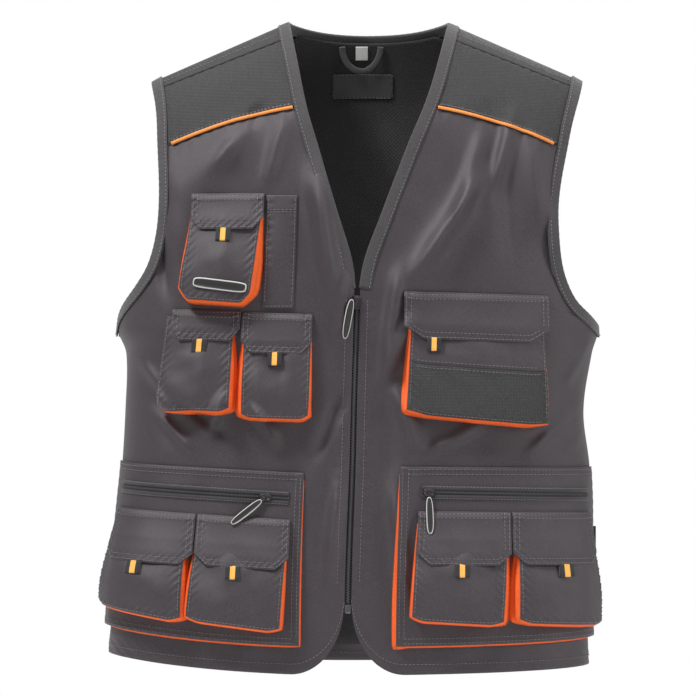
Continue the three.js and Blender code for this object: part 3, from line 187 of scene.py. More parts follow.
def readTable(table, column, at):
    places = np.array([row["at"] for row in table], float)
    values = np.array([row[column] for row in table], float)
    n = len(places)
    at = np.clip(at, places[0], places[-1])
    i = np.clip(np.searchsorted(places, at, side="left") - 1, 0, n - 2)
    low, high = np.maximum(np.arange(n) - 1, 0), np.minimum(np.arange(n) + 1, n - 1)
    slopes = (values[high] - values[low]) / (places[high] - places[low])
    span = places[i + 1] - places[i]
    t = (at - places[i]) / span
    t2, t3 = t * t, t * t * t
    return (
        values[i] * (2 * t3 - 3 * t2 + 1)
        + slopes[i] * span * (t3 - 2 * t2 + t)
        + values[i + 1] * (3 * t2 - 2 * t3)
        + slopes[i + 1] * span * (t3 - t2)
    )


def centreAt(z):
    return halfWidth * readTable(sections, "centre", -z / bodyLength)


def halfAt(z, sign):
    right = readTable(sections, "right", -z / bodyLength)
    left = readTable(sections, "left", -z / bodyLength)
    return halfWidth * np.where(np.asarray(sign) < 0, right, left)


def ridgeAt(x):
    return shoulderFall * (neckHalf - np.abs(x)) / (shoulderSpan - neckHalf)


def foldAt(table, face, x, z):
    total = np.zeros(np.broadcast(face, x, z).shape)
    for fold in table:
        lean = math.radians(fold["lean"])
        dx, dz = x - fold["x"] * halfWidth, z + fold["down"] * bodyLength
        along = (dx * math.sin(lean) + dz * math.cos(lean)) / (fold["reach"] * bodyLength)
        across = (dx * math.cos(lean) - dz * math.sin(lean)) / (fold["width"] * halfWidth)
        rise = fold["rise"] * frontDepth * np.exp(-np.minimum(across**2 + along**4, 60))
        total = total + np.where(face == fold["face"], rise, 0)
    return total


def bodyPoint(face, angle, z, fine=True):
    sign = np.where(angle < 0, -1, 1)
    x = centreAt(z) + halfAt(z, sign) * np.sin(angle) * (1 + sideFullness * np.cos(angle) ** 2)
    depthFront = frontDepth * readTable(sections, "front", -z / bodyLength)
    depthBack = backDepth * readTable(sections, "back", -z / bodyLength)
    depth = np.where(face < 0, depthFront, depthBack) + foldAt(folds, face, x, z)
    if fine:
        edge = smooth((math.pi / 2 - np.abs(angle)) / 0.2) * smooth((ridgeAt(x) - z) / (60 * mm))
        wave = 0.5 * mm * np.sin(x / (9 * mm) + 3 * np.sin(z / (31 * mm)))
        wave = wave * np.sin(z / (23 * mm) + x / (40 * mm))
        depth = depth + (creaseShare * foldAt(creases, face, x, z) + wave) * edge
    below = np.clip((ridgeAt(x) - z) / shoulderRound, 0, 1)
    near = np.cos(angle) * (1 + faceFullness * np.sin(angle) ** 2) * np.sqrt(1 - (1 - below) ** 2)
    return np.stack(np.broadcast_arrays(x, face * depth * near, z), axis=-1)


def unit(v):
    return v / np.maximum(np.linalg.norm(v, axis=-1, keepdims=True), 1e-12)


def outward(face, angle, z, fine=True):
    turn, rise = 0.004, 0.4 * mm
    across = bodyPoint(face, angle + turn, z, fine) - bodyPoint(face, angle - turn, z, fine)
    up = bodyPoint(face, angle, z + rise, fine) - bodyPoint(face, angle, z - rise, fine)
    normal = unit(np.cross(across, up))
    inside = np.stack(np.broadcast_arrays(centreAt(z), 0 * z, z - shoulderRound), axis=-1)
    away = np.sum(normal * (bodyPoint(face, angle, z, fine) - inside), axis=-1, keepdims=True)
    return np.where(away < 0, -normal, normal)


angleTable = np.linspace(0, math.pi / 2, 20001)
reachTable = np.sin(angleTable) * (1 + sideFullness * np.cos(angleTable) ** 2)


def angleOfX(x, z):
    aside = x - centreAt(z)
    reach = np.clip(np.abs(aside) / halfAt(z, np.where(aside < 0, -1, 1)), 0, 1)
    return np.sign(aside) * np.interp(reach, reachTable, angleTable)


def armholeX(sign, z):
    share = (-z - shoulderFall) / armholeDepth
    return centreAt(z) + sign * halfAt(z, sign) * readTable(armholeEdge, sideNames[sign], share)


def neckX(sign, z):
    return centreAt(z) + sign * neckHalf * readTable(neckEdge, "reach", -z / neckDepth)


def zipEdgeX(sign, z):
    return centreAt(z) + sign * lerp(zipSlotTop, zipSlotFoot, -z / bodyLength)


# Distances round the front, read from rows of lengths at even heights
girthSteps = 60
girthRise = 1.5 * mm
girthHeights = np.arange(-730 * mm, 1 * mm, girthRise)
girthRuns = {}
for sign in (-1, 1):
    turns = np.abs(np.linspace(0, math.pi / 2, girthSteps + 1)) * sign
    turns[0] = sign * 1e-9
    spots = bodyPoint(front, turns[None, :], girthHeights[:, None] + 0 * turns[None, :], False)
    steps = np.linalg.norm(np.diff(spots, axis=1), axis=-1)
    girthRuns[sign] = np.pad(np.cumsum(steps, axis=1), ((0, 0), (1, 0)))


def runsAt(sign, z):
    place = np.clip((z - girthHeights[0]) / girthRise, 0, len(girthHeights) - 1.001)
    k = place.astype(int)
    part = (place - k)[..., None]
    return girthRuns[sign][k] * (1 - part) + girthRuns[sign][k + 1] * part


def angleOfGirth(distance, z):
    distance, z = np.broadcast_arrays(np.asarray(distance, float), np.asarray(z, float))
    angle = np.zeros(distance.shape)
    for sign in (-1, 1):
        run = runsAt(sign, z)
        wanted = np.minimum(np.abs(distance), run[..., -1])
        i = np.clip((run[..., 1:] < wanted[..., None]).sum(axis=-1), 0, girthSteps - 1)
        low = np.take_along_axis(run, i[..., None], axis=-1)[..., 0]
        high = np.take_along_axis(run, i[..., None] + 1, axis=-1)[..., 0]
        found = sign * (i + (wanted - low) / (high - low)) * math.pi / 2 / girthSteps
        angle = np.where((distance < 0) == (sign < 0), found, angle)
    return angle


def girthOfAngle(sign, share, z):
    run = runsAt(sign, np.asarray(z, float))
    steps = share * girthSteps
    i = int(steps)
    return run[..., i] + (run[..., i + 1] - run[..., i]) * (steps - i)


def placeOn(distance, z, offset):
    angle = angleOfGirth(distance, z)
    spots = bodyPoint(front, angle, z)
    return spots + outward(front, angle, z, False) * np.asarray(offset)[..., None]


print("surface ready")


# Materials
weaveTurns = {"twill": (45, -45), "plain": (0, 90), "rib": (90,), "mesh": (45, -45)}


def makeMaterial(
    name, colour, rough=0.85, metal=0.0, weave=None, pitch=1.0, bump=0.3, mottle=0.2, sheen=0.25, stripe=None
):
    material = bpy.data.materials.new(name)
    material.use_nodes = True
    nodes, links = material.node_tree.nodes, material.node_tree.links
    shader = nodes["Principled BSDF"].inputs
    shader["Roughness"].default_value = rough
    shader["Metallic"].default_value = metal
    shader["Sheen Weight"].default_value = sheen
    shader["Sheen Roughness"].default_value = 0.5

    def node(kind, values=None, wires=None, **settings):
        made = nodes.new("ShaderNode" + kind)
        for key, value in settings.items():
            setattr(made, key, value)
        for key, value in (values or {}).items():
            made.inputs[key].default_value = value
        for key, socket in (wires or {}).items():
            links.new(socket, made.inputs[key])
        return made.outputs

    def ramp(source, places, ends):
        made = nodes.new("ShaderNodeValToRGB")
        for k in (0, 1):
            made.color_ramp.elements[k].position = places[k]
            made.color_ramp.elements[k].color = ends[k]
        links.new(source, made.inputs["Fac"])
        return made.outputs["Color"]

    place = node("TexCoord")
    fleck = node("TexNoise", {"Scale": 650, "Detail": 2}, {"Vector": place["Object"]})["Fac"]
    cloud = node("TexNoise", {"Scale": 14, "Detail": 4}, {"Vector": place["Object"]})["Fac"]
    dark = [c * (1 - mottle) for c in colour] + [1]
    pale = [min(1, c * (1 + mottle)) for c in colour] + [1]
    wires = {"A": ramp(fleck, (0.35, 0.68), (dark, pale))}
    wires["B"] = ramp(cloud, (0.3, 0.75), ((0.62, 0.62, 0.62, 1), (1, 1, 1, 1)))
    mixing = {"data_type": "RGBA", "blend_type": "MULTIPLY"}
    colourOut = node("Mix", {"Factor": 0.35}, wires, **mixing)["Result"]
    if stripe:
        split = node("SeparateXYZ", None, {"Vector": place["UV"]})["X"]
        distance = node("Math", None, {0: split}, operation="ABSOLUTE")["Value"]
        inside = node("Math", {1: stripe["half"]}, {0: distance}, operation="LESS_THAN")["Value"]
        wires = {"Factor": inside, "A": colourOut}
        colourOut = node("Mix", {"B": (*stripe["colour"], 1)}, wires, data_type="RGBA")["Result"]
    links.new(colourOut, shader["Base Color"])
    if weave:
        lines = []
        scale = 1 / (pitch * mm) / 20
        for turn in weaveTurns[weave]:
            values = {"Rotation": (0, 0, math.radians(turn)), "Scale": (scale, scale, 1)}
            aim = node("Mapping", values, {"Vector": place["UV"]})["Vector"]
            values = {"Scale": 2 * math.pi, "Distortion": 0.3, "Detail Scale": 4}
            lines.append(node("TexWave", values, {"Vector": aim})["Fac"])
        height = lines[0]
        if len(lines) > 1:
            joining = "MULTIPLY" if weave == "mesh" else "ADD"
            height = node("Math", None, dict(enumerate(lines)), operation=joining)["Value"]
        height = node("Math", None, {0: height, 1: fleck}, operation="ADD")["Value"]
        relief = node("Bump", {"Strength": bump, "Distance": 0.4 * mm}, {"Height": height})
        links.new(relief["Normal"], shader["Normal"])
    return material


twill = makeMaterial(
    "dark_twill", (0.0355, 0.0272, 0.0335), 0.48, weave="twill", pitch=1.3, bump=0.35, mottle=0.25, sheen=0.12
)
oxford = makeMaterial(
    "coarse_oxford", (0.0205, 0.0195, 0.021), 0.62, weave="plain", pitch=1.6, bump=0.7, mottle=0.5, sheen=0.12
)
meshCloth = makeMaterial(
    "mesh_cloth", (0.016, 0.0145, 0.015), weave="mesh", pitch=3.0, bump=1.0, mottle=0.3, sheen=0.1
)
tape = makeMaterial("binding_tape", (0.046, 0.042, 0.045), weave="rib", pitch=1.5, bump=0.5)
orange = makeMaterial(
    "orange_cloth", (0.84, 0.115, 0.010), 0.75, weave="twill", pitch=1.3, mottle=0.12, sheen=0
)
piping = makeMaterial(
    "piping_cloth", (0.90, 0.29, 0.06), weave="rib", pitch=1.4, bump=0.6, mottle=0.15, sheen=0.1
)
thread = makeMaterial("stitch_thread", (0.17, 0.16, 0.17), 0.6, mottle=0.1)
tabStripe = {"half": 2.7 * mm, "colour": (0.87, 0.42, 0.08)}
tabWeb = makeMaterial(
    "tab_webbing", (0.012, 0.011, 0.012), weave="rib", pitch=1.2, bump=0.6, stripe=tabStripe
)
labelCloth = makeMaterial(
    "label_cloth", (0.022, 0.021, 0.024), 0.38, weave="plain", pitch=0.8, bump=0.15
)
tagCloth = makeMaterial("tag_cloth", (0.80, 0.80, 0.78), weave="plain", pitch=0.8, bump=0.1, mottle=0.03)
rubber = makeMaterial("rubber", (0.020, 0.019, 0.020), 0.45, mottle=0.05, sheen=0)
rimRubber = makeMaterial("badge_rim", (0.52, 0.51, 0.49), 0.45, mottle=0.05, sheen=0)
zipMetal = makeMaterial("zip_metal", (0.06, 0.056, 0.06), 0.35, metal=0.8, mottle=0.05, sheen=0)
zipTape = makeMaterial("zip_tape", (0.030, 0.027, 0.030), weave="rib", pitch=0.9, bump=0.4)
teethPlastic = makeMaterial("zip_teeth", (0.05, 0.047, 0.05), 0.4, mottle=0.05, sheen=0)


# Meshes
def makePiece(name, verts, faces, uvs, material, slot, nodes=(), flat=None, area=None, rim=None):
    mesh = bpy.data.meshes.new(name)
    mesh.from_pydata(np.asarray(verts).reshape(-1, 3).tolist(), [], [list(f) for f in faces])
    mesh.polygons.foreach_set("use_smooth", [True] * len(mesh.polygons))
    if uvs is not None:
        layer = mesh.uv_layers.new(name="cloth")
        corners = np.empty(len(mesh.loops), int)
        mesh.loops.foreach_get("vertex_index", corners)
        layer.data.foreach_set("uv", np.asarray(uvs, float).reshape(-1, 2)[corners].ravel())
    mesh.materials.append(material)
    if rim:
        mesh.materials.append(rimRubber)
        for i in range(*rim):
            mesh.polygons[i].material_index = 1
    mesh.update()
    piece = bpy.data.objects.new(name, mesh)
    bpy.context.scene.collection.objects.link(piece)
    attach(piece, "root")
    if nodes:
        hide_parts(*nodes)
    return piece


def slab(outer, inner, uvs, keep=None):
    rows, columns = outer.shape[:2]
    verts = np.concatenate([outer.reshape(-1, 3), inner.reshape(-1, 3)])
    k = np.arange(rows * columns).reshape(rows, columns)
    cells = np.ones((rows - 1, columns - 1), bool) if keep is None else keep
    a, b, c, d = k[:-1, :-1], k[:-1, 1:], k[1:, 1:], k[1:, :-1]
    count = rows * columns
    faces = [np.stack([q[cells] for q in (a, b, c, d)], axis=1)]
    faces.append(np.stack([q[cells] + count for q in (a, d, c, b)], axis=1))
    wide = np.pad(cells, 1)
    for (di, dj), (p, q) in {(-1, 0): (b, a), (1, 0): (d, c), (0, -1): (a, d), (0, 1): (c, b)}.items():
        open_ = cells & ~wide[1 + di : rows + di, 1 + dj : columns + dj]
        faces.append(np.stack([p[open_], q[open_], q[open_] + count, p[open_] + count], axis=1))
    return verts, np.concatenate(faces), np.concatenate([uvs.reshape(-1, 2)] * 2)


def layCloth(name, spots, normals, lift, uvs, nodes, kind, keep=None):
    offset = np.broadcast_to(lift, spots.shape[:2])[..., None]
    half = np.broadcast_to(kind["wall"], spots.shape[:2])[..., None] / 2
    outer, inner = spots + normals * (offset + half), spots + normals * (offset - half)
    verts, faces, uv = slab(outer, inner, uvs, keep)
    a, b, c = verts[faces[0][0]], verts[faces[0][1]], verts[faces[0][2]]
    if np.sum(np.cross(b - a, c - a) * normals.reshape(-1, 3)[faces[0][0]]) < 0:
        faces = faces[:, ::-1]
    look = kind["material"], kind["slot"]
    return makePiece(name, verts, faces, uv, *look, nodes, kind["flat"], kind.get("area"))


def runAlong(points):
    return np.concatenate([[0], np.cumsum(np.linalg.norm(np.diff(points, axis=0), axis=1))])


def readAlong(at, run, table):
    return np.stack([np.interp(at, run, table[:, k]) for k in range(table.shape[1])], axis=1)


# Stitches: short bars with a hump, gathered and made as one piece for each group of seams
stitchStore = []
stitchSides = 4
stitchLift = 0.6 * mm  # cloth's middle to a stitch on its face


def stitchRow(points, normals, length=3.0, space=1.3, radius=0.42, lift=0.15):
    run = runAlong(points)
    pitch = (length + space) * mm
    count = int(run[-1] / pitch)
    if count < 1:
        return
    starts = (np.arange(count) + 0.15) * pitch
    shape = [(-0.02, -0.5, 0.5), (0.5, 0.9, 1.1), (1.02, -0.5, 0.5)]  # along, rise, thickness
    rings = []
    for part, rise, full in shape:
        at = starts + part * length * mm
        normal = unit(readAlong(at, run, normals))
        rings.append((readAlong(at, run, points) + normal * (rise * radius + lift) * mm, normal, full))
    course = unit(rings[-1][0] - rings[0][0])
    verts = []
    for centre, normal, full in rings:
        aside = unit(np.cross(course, normal))
        for turn in range(stitchSides):
            angle = (turn + 0.5) * 2 * math.pi / stitchSides
            verts.append(centre + (aside * math.cos(angle) + normal * math.sin(angle)) * radius * full * mm)
    stitchStore.append(np.stack(verts, axis=1))


def stitchOn(face, angle, z, lift=stitchLift, **kind):
    spots, normals = onBody(face, angle, z)
    stitchRow(spots + normals * np.asarray(lift)[..., None], normals, **kind)


def makeStitches(name):
    verts = np.concatenate(stitchStore)
    stitchStore.clear()
    side = np.arange(stitchSides)
    after = (side + 1) % stitchSides
    ring = np.stack([side, after, after + stitchSides, side + stitchSides], axis=1)
    quads = np.concatenate([ring, ring + stitchSides])
    faces = (np.arange(len(verts)) * 3 * stitchSides)[:, None, None] + quads[None]
    print(name, len(verts), "stitches")
    return makePiece(name, verts, faces.reshape(-1, 4), None, thread, "binding_tape")


# Front panels
footRow = 0.62


def hemAt(sign, x):
    low = np.full_like(x, -bodyLength)
    reach = np.clip(np.abs(x - centreAt(low)) / halfAt(low, sign), 0, 1)
    return -bodyLength + hemSideRise[sign] * reach**2


def pipingAt(sign, x):
    low, high = np.array(-yokeNeckDrop), np.array(-yokeArmDrop)
    inner = neckX(sign, low)
    t = (x - inner) / (armholeX(sign, high) - inner)
    return -lerp(yokeNeckDrop, yokeArmDrop, t) + yokeBow * 4 * t * (1 - t)


def frontSpot(sign, u, v):
    upper = v > footRow
    t = np.where(upper, (v - footRow) / (1 - footRow), v / footRow)
    hemSide, cornerTop = -bodyLength + hemSideRise[sign], -bodyLength + frontCorner["rise"]
    sideZ = np.where(upper, lerp(armholeFoot, -yokeArmDrop, t), lerp(hemSide, armholeFoot, t))
    edgeZ = np.where(upper, lerp(-neckDepth, -yokeNeckDrop, t), lerp(cornerTop, -neckDepth, t))
    outer = np.where(upper, angleOfX(armholeX(sign, sideZ), sideZ), sign * (math.pi / 2 - sideShort))
    inner = angleOfX(np.where(upper, neckX(sign, edgeZ), zipEdgeX(sign, edgeZ)), edgeZ)
    angle = lerp(outer, inner, u)
    z = lerp(sideZ, edgeZ, u)
    x = bodyPoint(front, angle, z, False)[..., 0]
    up = (pipingAt(sign, x) - lerp(-yokeArmDrop, -yokeNeckDrop, u) - seamHalf) * smooth(t)
    low = np.full_like(z, -bodyLength)
    xLow = bodyPoint(front, angle, low, False)[..., 0]
    turn = np.clip(1 - np.abs(xLow - zipEdgeX(sign, low)) / frontCorner["run"], 0, 1)
    hem = hemAt(sign, xLow) + frontCorner["rise"] * (1 - np.sqrt(1 - turn**2))
    down = (hem - lerp(hemSide, cornerTop, u)) * (1 - t) ** 1.3
    return angle, z + np.where(upper, up, down)


def gridOf(us, vs):
    v, u = np.meshgrid(vs, us, indexing="ij")
    return u, v


def onBody(face, angle, z):
    face = np.broadcast_to(face, angle.shape)
    return bodyPoint(face, angle, z), outward(face, angle, z, False)


hemSeam = 9 * mm  # from a hem or the zip to the middle of its puckers


# Puckers along a seam: wave, rise and reach in millimetres
def ripple(distance, run, wave, rise, reach):
    return rise * mm * np.sin(run * 2 * math.pi / (wave * mm)) * np.exp(-((distance / (reach * mm)) ** 2))


frontCloth = {"wall": cloth, "material": twill, "slot": "twill", "flat": (0.36, 0.62), "area": 0.155}


def frontPanel(sign):
    us = np.concatenate([np.linspace(0, 0.94, 110), np.linspace(0.945, 1, 14)])
    vs = np.concatenate([np.linspace(0, 0.05, 14), np.linspace(0.055, 1, 170)])
    angle, z = frontSpot(sign, *gridOf(us, vs))
    spots, normals = onBody(front, angle, z)
    x = spots[..., 0]
    lift = ripple(z - hemAt(sign, x) - hemSeam, x + z, 10, 0.35, 9)
    lift = lift + ripple(np.abs(x - zipEdgeX(sign, z)) - hemSeam, z, 13, 0.35, 8) * (z < -neckDepth)
    seam = np.abs(z - pipingAt(sign, x))
    lift = lift - 0.9 * mm * np.exp(-((seam / (3 * mm)) ** 2)) + ripple(seam, x, 12, 0.4, 12)
    uvs = np.stack([x + spots[..., 1] * sign * 0.6, z], axis=-1)
    name = sideNames[sign]
    layCloth(f"front_{name}", spots, normals, lift, uvs, [f"front_panel_{name}"], frontCloth)
    angle, z = frontSpot(sign, *gridOf(np.linspace(0.01, 1, 300), np.array([0.016])))
    stitchOn(front, angle[0], z[0])  # along the hem
    z = np.linspace(-neckDepth - 12 * mm, -bodyLength + 96 * mm, 200)
    stitchOn(front, angleOfX(zipEdgeX(sign, z) + sign * 8.5 * mm, z), z)  # along the zip


def yokeSpot(sign, u, v):
    def strapSpot(below):
        z = -shoulderFall * (1 - u) - below
        for _ in range(8):
            x = lerp(armholeX(sign, z), neckX(sign, z), u)
            z = ridgeAt(x) - below
        return z

    top = strapSpot(lerp(strapArmDrop, strapNeckDrop, u) + seamHalf)
    seamX = lerp(armholeX(sign, np.array(-yokeArmDrop)), neckX(sign, np.array(-yokeNeckDrop)), u)
    z = lerp(pipingAt(sign, seamX) + seamHalf, top, v)
    return angleOfX(lerp(armholeX(sign, z), neckX(sign, z), u), z), z


yokeCloth = {"wall": cloth, "material": oxford, "slot": "oxford", "flat": (0.16, 0.12), "area": 0.0145}


def frontYoke(sign):
    u, v = gridOf(np.linspace(0, 1, 70), np.linspace(0, 1, 50))
    angle, z = yokeSpot(sign, u, v)
    spots, normals = onBody(front, angle, z)
    yokeWidth, yokeHeight = 0.15, 0.09
    across, up = u * yokeWidth, v * yokeHeight
    lift = -0.8 * mm * np.exp(-((up / (3 * mm)) ** 2)) + ripple(up, across, 12, 0.4, 10)
    lift = lift + ripple(yokeHeight - up, across, 11, 0.35, 8)
    uvs = np.stack([spots[..., 0], z], axis=-1)
    name = sideNames[sign]
    layCloth(f"yoke_{name}", spots, normals, lift, uvs, [f"front_yoke_{name}"], yokeCloth)
    stitchOn(front, *yokeSpot(sign, np.linspace(0.07, 0.93, 120), np.full(120, 0.045)))


# Back yoke with its straps, back panel and mesh lining
def necklineAt(t):
    return -backNeckDrop * (1 - np.minimum(np.abs(t), 1) ** 2.6)


def shoulderSpot(sign, face, u, below):
    z = -shoulderFall * (1 - u) - below
    x = z
    for _ in range(8):
        arm = np.where(sign < 0, armholeX(-1, z), armholeX(1, z))
        neck = np.where(sign < 0, neckX(-1, z), neckX(1, z))
        inner = np.where(face < 0, neck, centreAt(np.zeros_like(z)) + sign * neckHalf)
        x = lerp(arm, inner, u)
        z = ridgeAt(x) - below
    return angleOfX(x, z), z


def backYokeSpot(u, w):
    sign = np.where(u < 0, -1, 1)
    reach = np.abs(u)
    down = (np.clip(w, 0, 5) / 5) ** lerp(1.2, 1.8, np.minimum(1, reach))
    zero = np.zeros_like(u)
    zNeck = lerp(necklineAt(u), -backYokeDrop - backLap, down)
    angleNeck = angleOfX(centreAt(zero) + u * neckHalf, zNeck)
    across = np.clip(2 - reach, 0, 1)
    drop = (lerp(strapArmDrop, strapNeckDrop, across) - seamHalf) * (np.minimum(w, 0) / 2) ** 2
    face = np.where((w <= 0) & (reach >= 1), -1, 1)
    angleStrap, zStrap = shoulderSpot(sign, np.full_like(u, -1), across, drop)
    _, ridge = shoulderSpot(sign, np.full_like(u, 1), across, zero)
    fall = (ridge + backYokeDrop + backLap) * down
    angleBack, zBack = shoulderSpot(sign, np.full_like(u, 1), across, fall)
    angle = np.where(reach < 1, angleNeck, np.where(w <= 0, angleStrap, angleBack))
    z = np.where(reach < 1, zNeck, np.where(w <= 0, zStrap, zBack))
    return face, angle, z


backYokeCloth = {"wall": cloth, "material": oxford, "slot": "oxford", "flat": (0.48, 0.2), "area": 0.078}


def backYoke():
    side = np.linspace(1, 2, 56)
    us = np.concatenate([-side[::-1], np.linspace(-1, 1, 70)[1:-1], side])
    ws = np.concatenate([np.linspace(-2, 0, 14), np.linspace(0, 5, 60)[1:]])
    u, w = gridOf(us, ws)
    spots, normals = onBody(*backYokeSpot(u, w))
    inNeck = (np.abs(us[:-1] + us[1:]) < 2)[None, :] & (ws[:-1] < -1e-9)[:, None]
    above = backYokeDrop * (1 - np.maximum(w, 0) / 5)  # height over the lower seam
    lift = ripple(above, spots[..., 0], 12, 0.3, 12) + 0.8 * mm * smooth(1 - above / (12 * mm))
    steps = np.linalg.norm(np.diff(spots, axis=0), axis=-1)
    down = np.cumsum(np.concatenate([0 * u[:1], steps]), axis=0)
    uvs = np.stack([spots[..., 0], down], axis=-1)
    layCloth("yoke_back", spots, normals, lift, uvs, ["back_yoke"], backYokeCloth, ~inNeck)
    for sign in (-1, 1):
        stitchOn(*backYokeSpot(np.linspace(1.08, 1.93, 120) * sign, np.full(120, -1.45)))
    stitchOn(*backYokeSpot(np.linspace(-1.93, 1.93, 300), np.full(300, 4.85)))


def backSpot(u, v):
    low = np.full_like(u, -bodyLength)
    sign = np.where(u < 0, -1, 1)
    xLow = centreAt(low) + u * halfAt(low, sign)
    hem = np.where(sign < 0, hemAt(-1, xLow), hemAt(1, xLow)) + backHemLift
    top = -backYokeDrop + backTuck
    z = np.where(v <= 1, lerp(top, armholeFoot, v), lerp(armholeFoot, hem, v - 1))
    arm = np.where(sign < 0, armholeX(-1, z), armholeX(1, z))
    outer = np.where(v < 1, angleOfX(arm, z), sign * (math.pi / 2 - sideShort))
    return np.abs(u) * outer, z


backCloth = {"wall": cloth, "material": twill, "slot": "twill", "flat": (0.62, 0.56), "area": 0.33}


backSeam = {"height": 0.37, "yoke": 0.18, "hidden": 16 * mm, "sink": 1.1 * mm}  # metres


def backPanel():
    vs = np.concatenate([np.linspace(0, 1, 48), np.linspace(1, 2, 90)[1:]])
    u, v = gridOf(np.linspace(-1, 1, 120), vs)
    angle, z = backSpot(u, v)
    spots, normals = onBody(back, angle, z)
    lift = ripple((2 - v) * backSeam["height"] - hemSeam, spots[..., 0], 11, 0.4, 10)
    lift = lift - backSeam["sink"] * smooth(1 - v * backSeam["yoke"] / backSeam["hidden"])  # under the yoke
    uvs = np.stack([spots[..., 0], z], axis=-1)
    layCloth("back", spots, normals, lift, uvs, ["back_panel"], backCloth)
    stitchOn(back, *backSpot(np.linspace(-0.95, 0.95, 400), np.full(400, 0.115)))
    hemRow = onBody(back, *backSpot(np.linspace(-0.99, 0.99, 400), np.full(400, 1.975)))
    for side in (1, -1):
        stitchRow(hemRow[0] + side * hemRow[1] * stitchLift, side * hemRow[1])


liningCloth = {"wall": 0.8 * mm, "material": meshCloth, "slot": "mesh", "flat": (0.6, 0.68), "area": 0.32}


def meshLining():
    liningDepth, liningTop, liningDrop = 4.4 * mm, 14 * mm, 5 * mm
    vs = np.concatenate([np.linspace(0, 1, 40), np.linspace(1, 2.95, 60)[1:]])
    u, v = gridOf(np.linspace(-1, 1, 80), vs)
    narrow = 1 - smooth((np.abs(u) - 0.8) / 0.2) * np.where(v > 2, 0.04, 0.1)
    lowAngle, lowZ = backSpot(u, np.maximum(v - 1, 0))
    seamAngle, seamZ = backSpot(u, np.zeros_like(u))
    x = bodyPoint(back, seamAngle * narrow, seamZ, False)[..., 0]
    t = (x - centreAt(np.zeros_like(x))) / neckHalf
    under = ridgeAt(x) - liningTop
    top = np.where(np.abs(t) < 1, np.minimum(necklineAt(t) - liningDrop, under), under)
    z = np.where(v > 1, lowZ, lerp(top, seamZ, v))
    arm = np.where(u < 0, armholeX(-1, z), armholeX(1, z))
    limit = np.abs(angleOfX(arm, z)) * 0.9
    angle = np.where(v > 1, lowAngle * narrow, np.clip(angleOfX(x, z), -limit, limit))
    spots, normals = onBody(back, angle, z)
    fade = smooth((v - 0.3) / 0.5) * smooth((1 - np.abs(u)) / 0.15)
    sag = -fade * (1.2 + 1.2 * np.sin(spots[..., 0] / (21 * mm) + 2 * np.sin(z / (60 * mm)))) * mm
    uvs = np.stack([spots[..., 0], z], axis=-1)
    layCloth("lining", spots, normals, sag - liningDepth, uvs, ["mesh_lining"], liningCloth)


for sign in (-1, 1):
    frontPanel(sign)
    frontYoke(sign)
backYoke()
backPanel()
meshLining()
makeStitches("stitches_body")
print("panels ready")


# Bindings and piping: a profile of (into the cloth, out of it) pairs carried along a line
def soften(line, times, closed=False):
    for _ in range(times):
        if closed:
            line = (np.roll(line, 1, axis=0) + 2 * line + np.roll(line, -1, axis=0)) / 4
        else:
            line = np.concatenate([line[:1], (line[:-2] + 2 * line[1:-1] + line[2:]) / 4, line[-1:]])
    return line


def edgeFrames(points, normals, hollow, closed=False):
    if closed:
        run = unit(np.roll(points, -1, axis=0) - np.roll(points, 1, axis=0))
    else:
        run = unit(np.gradient(points, axis=0))
    into = unit(np.cross(normals, run))
    wrong = np.sum(into * (hollow - points), axis=1, keepdims=True) > 0
    into = np.where(wrong, -into, into)
    out = unit(np.cross(into, run))
    return into, np.where(np.sum(out * normals, axis=1, keepdims=True) < 0, -out, out)


def sweepPiece(points, into, out, profile, closed=False, extra=None):
    profile = np.asarray(profile)
    more = 0 if extra is None else extra[..., None] * np.sign(profile[None, :, 1:])
    rises = profile[None, :, 1:] + more
    grid = points[:, None] + into[:, None] * profile[None, :, :1] + out[:, None] * rises
    count, around = grid.shape[:2]
    k = np.arange(count * around).reshape(count, around)
    nextRow = np.roll(k, -1, axis=0) if closed else k[1:]
    here = k if closed else k[:-1]
    corners = [here, np.roll(here, -1, axis=1), np.roll(nextRow, -1, axis=1), nextRow]
    faces = np.stack(corners, axis=-1).reshape(-1, 4).tolist()
    if not closed:
        faces += [k[0][::-1].tolist(), k[-1].tolist()]
    uvs = np.stack(np.broadcast_arrays(runAlong(profile)[None], runAlong(points)[:, None]), axis=-1)
    verts = grid.reshape(-1, 3)
    facing = 0  # above zero where the first faces look away from the line
    for face in faces[: 20 * around]:
        a, b, c = verts[face[0]], verts[face[1]], verts[face[2]]
        row = min(face[0] // around, count - 1)
        centre = points[row] + into[row] * profile[:, 0].mean()
        facing += np.dot(np.cross(b - a, c - a), (a + b + c) / 3 - centre)
    if facing < 0:
        faces = [face[::-1] for face in faces]
    return verts, faces, uvs


bindingWidth = 12 * mm
leg, edge, wall = 0.75 * mm, 0.45 * mm, 0.9 * mm
turnSteps = [math.pi * (0.5 + i / 8) for i in range(9)]
bindingSide = [(12, 0.72), (11.2, 0.9), (6, 0.99), (1, 0.9)]  # along the cloth, over the leg
bindingProfile = [(a * mm, leg + b * mm) for a, b in bindingSide]
bindingProfile += [((leg + wall) * math.cos(t) * 0.9, (leg + wall) * math.sin(t)) for t in turnSteps[1:-1]]
bindingProfile += [(a * mm, -leg - b * mm) for a, b in bindingSide[::-1]]
bindingProfile += [(bindingWidth, -leg), (1 * mm, -leg), (-edge * 0.6, 0), (1 * mm, leg)]
bindingProfile.insert(0, (bindingWidth, leg))
bindingSeam = {"length": 2.6, "space": 1.6}


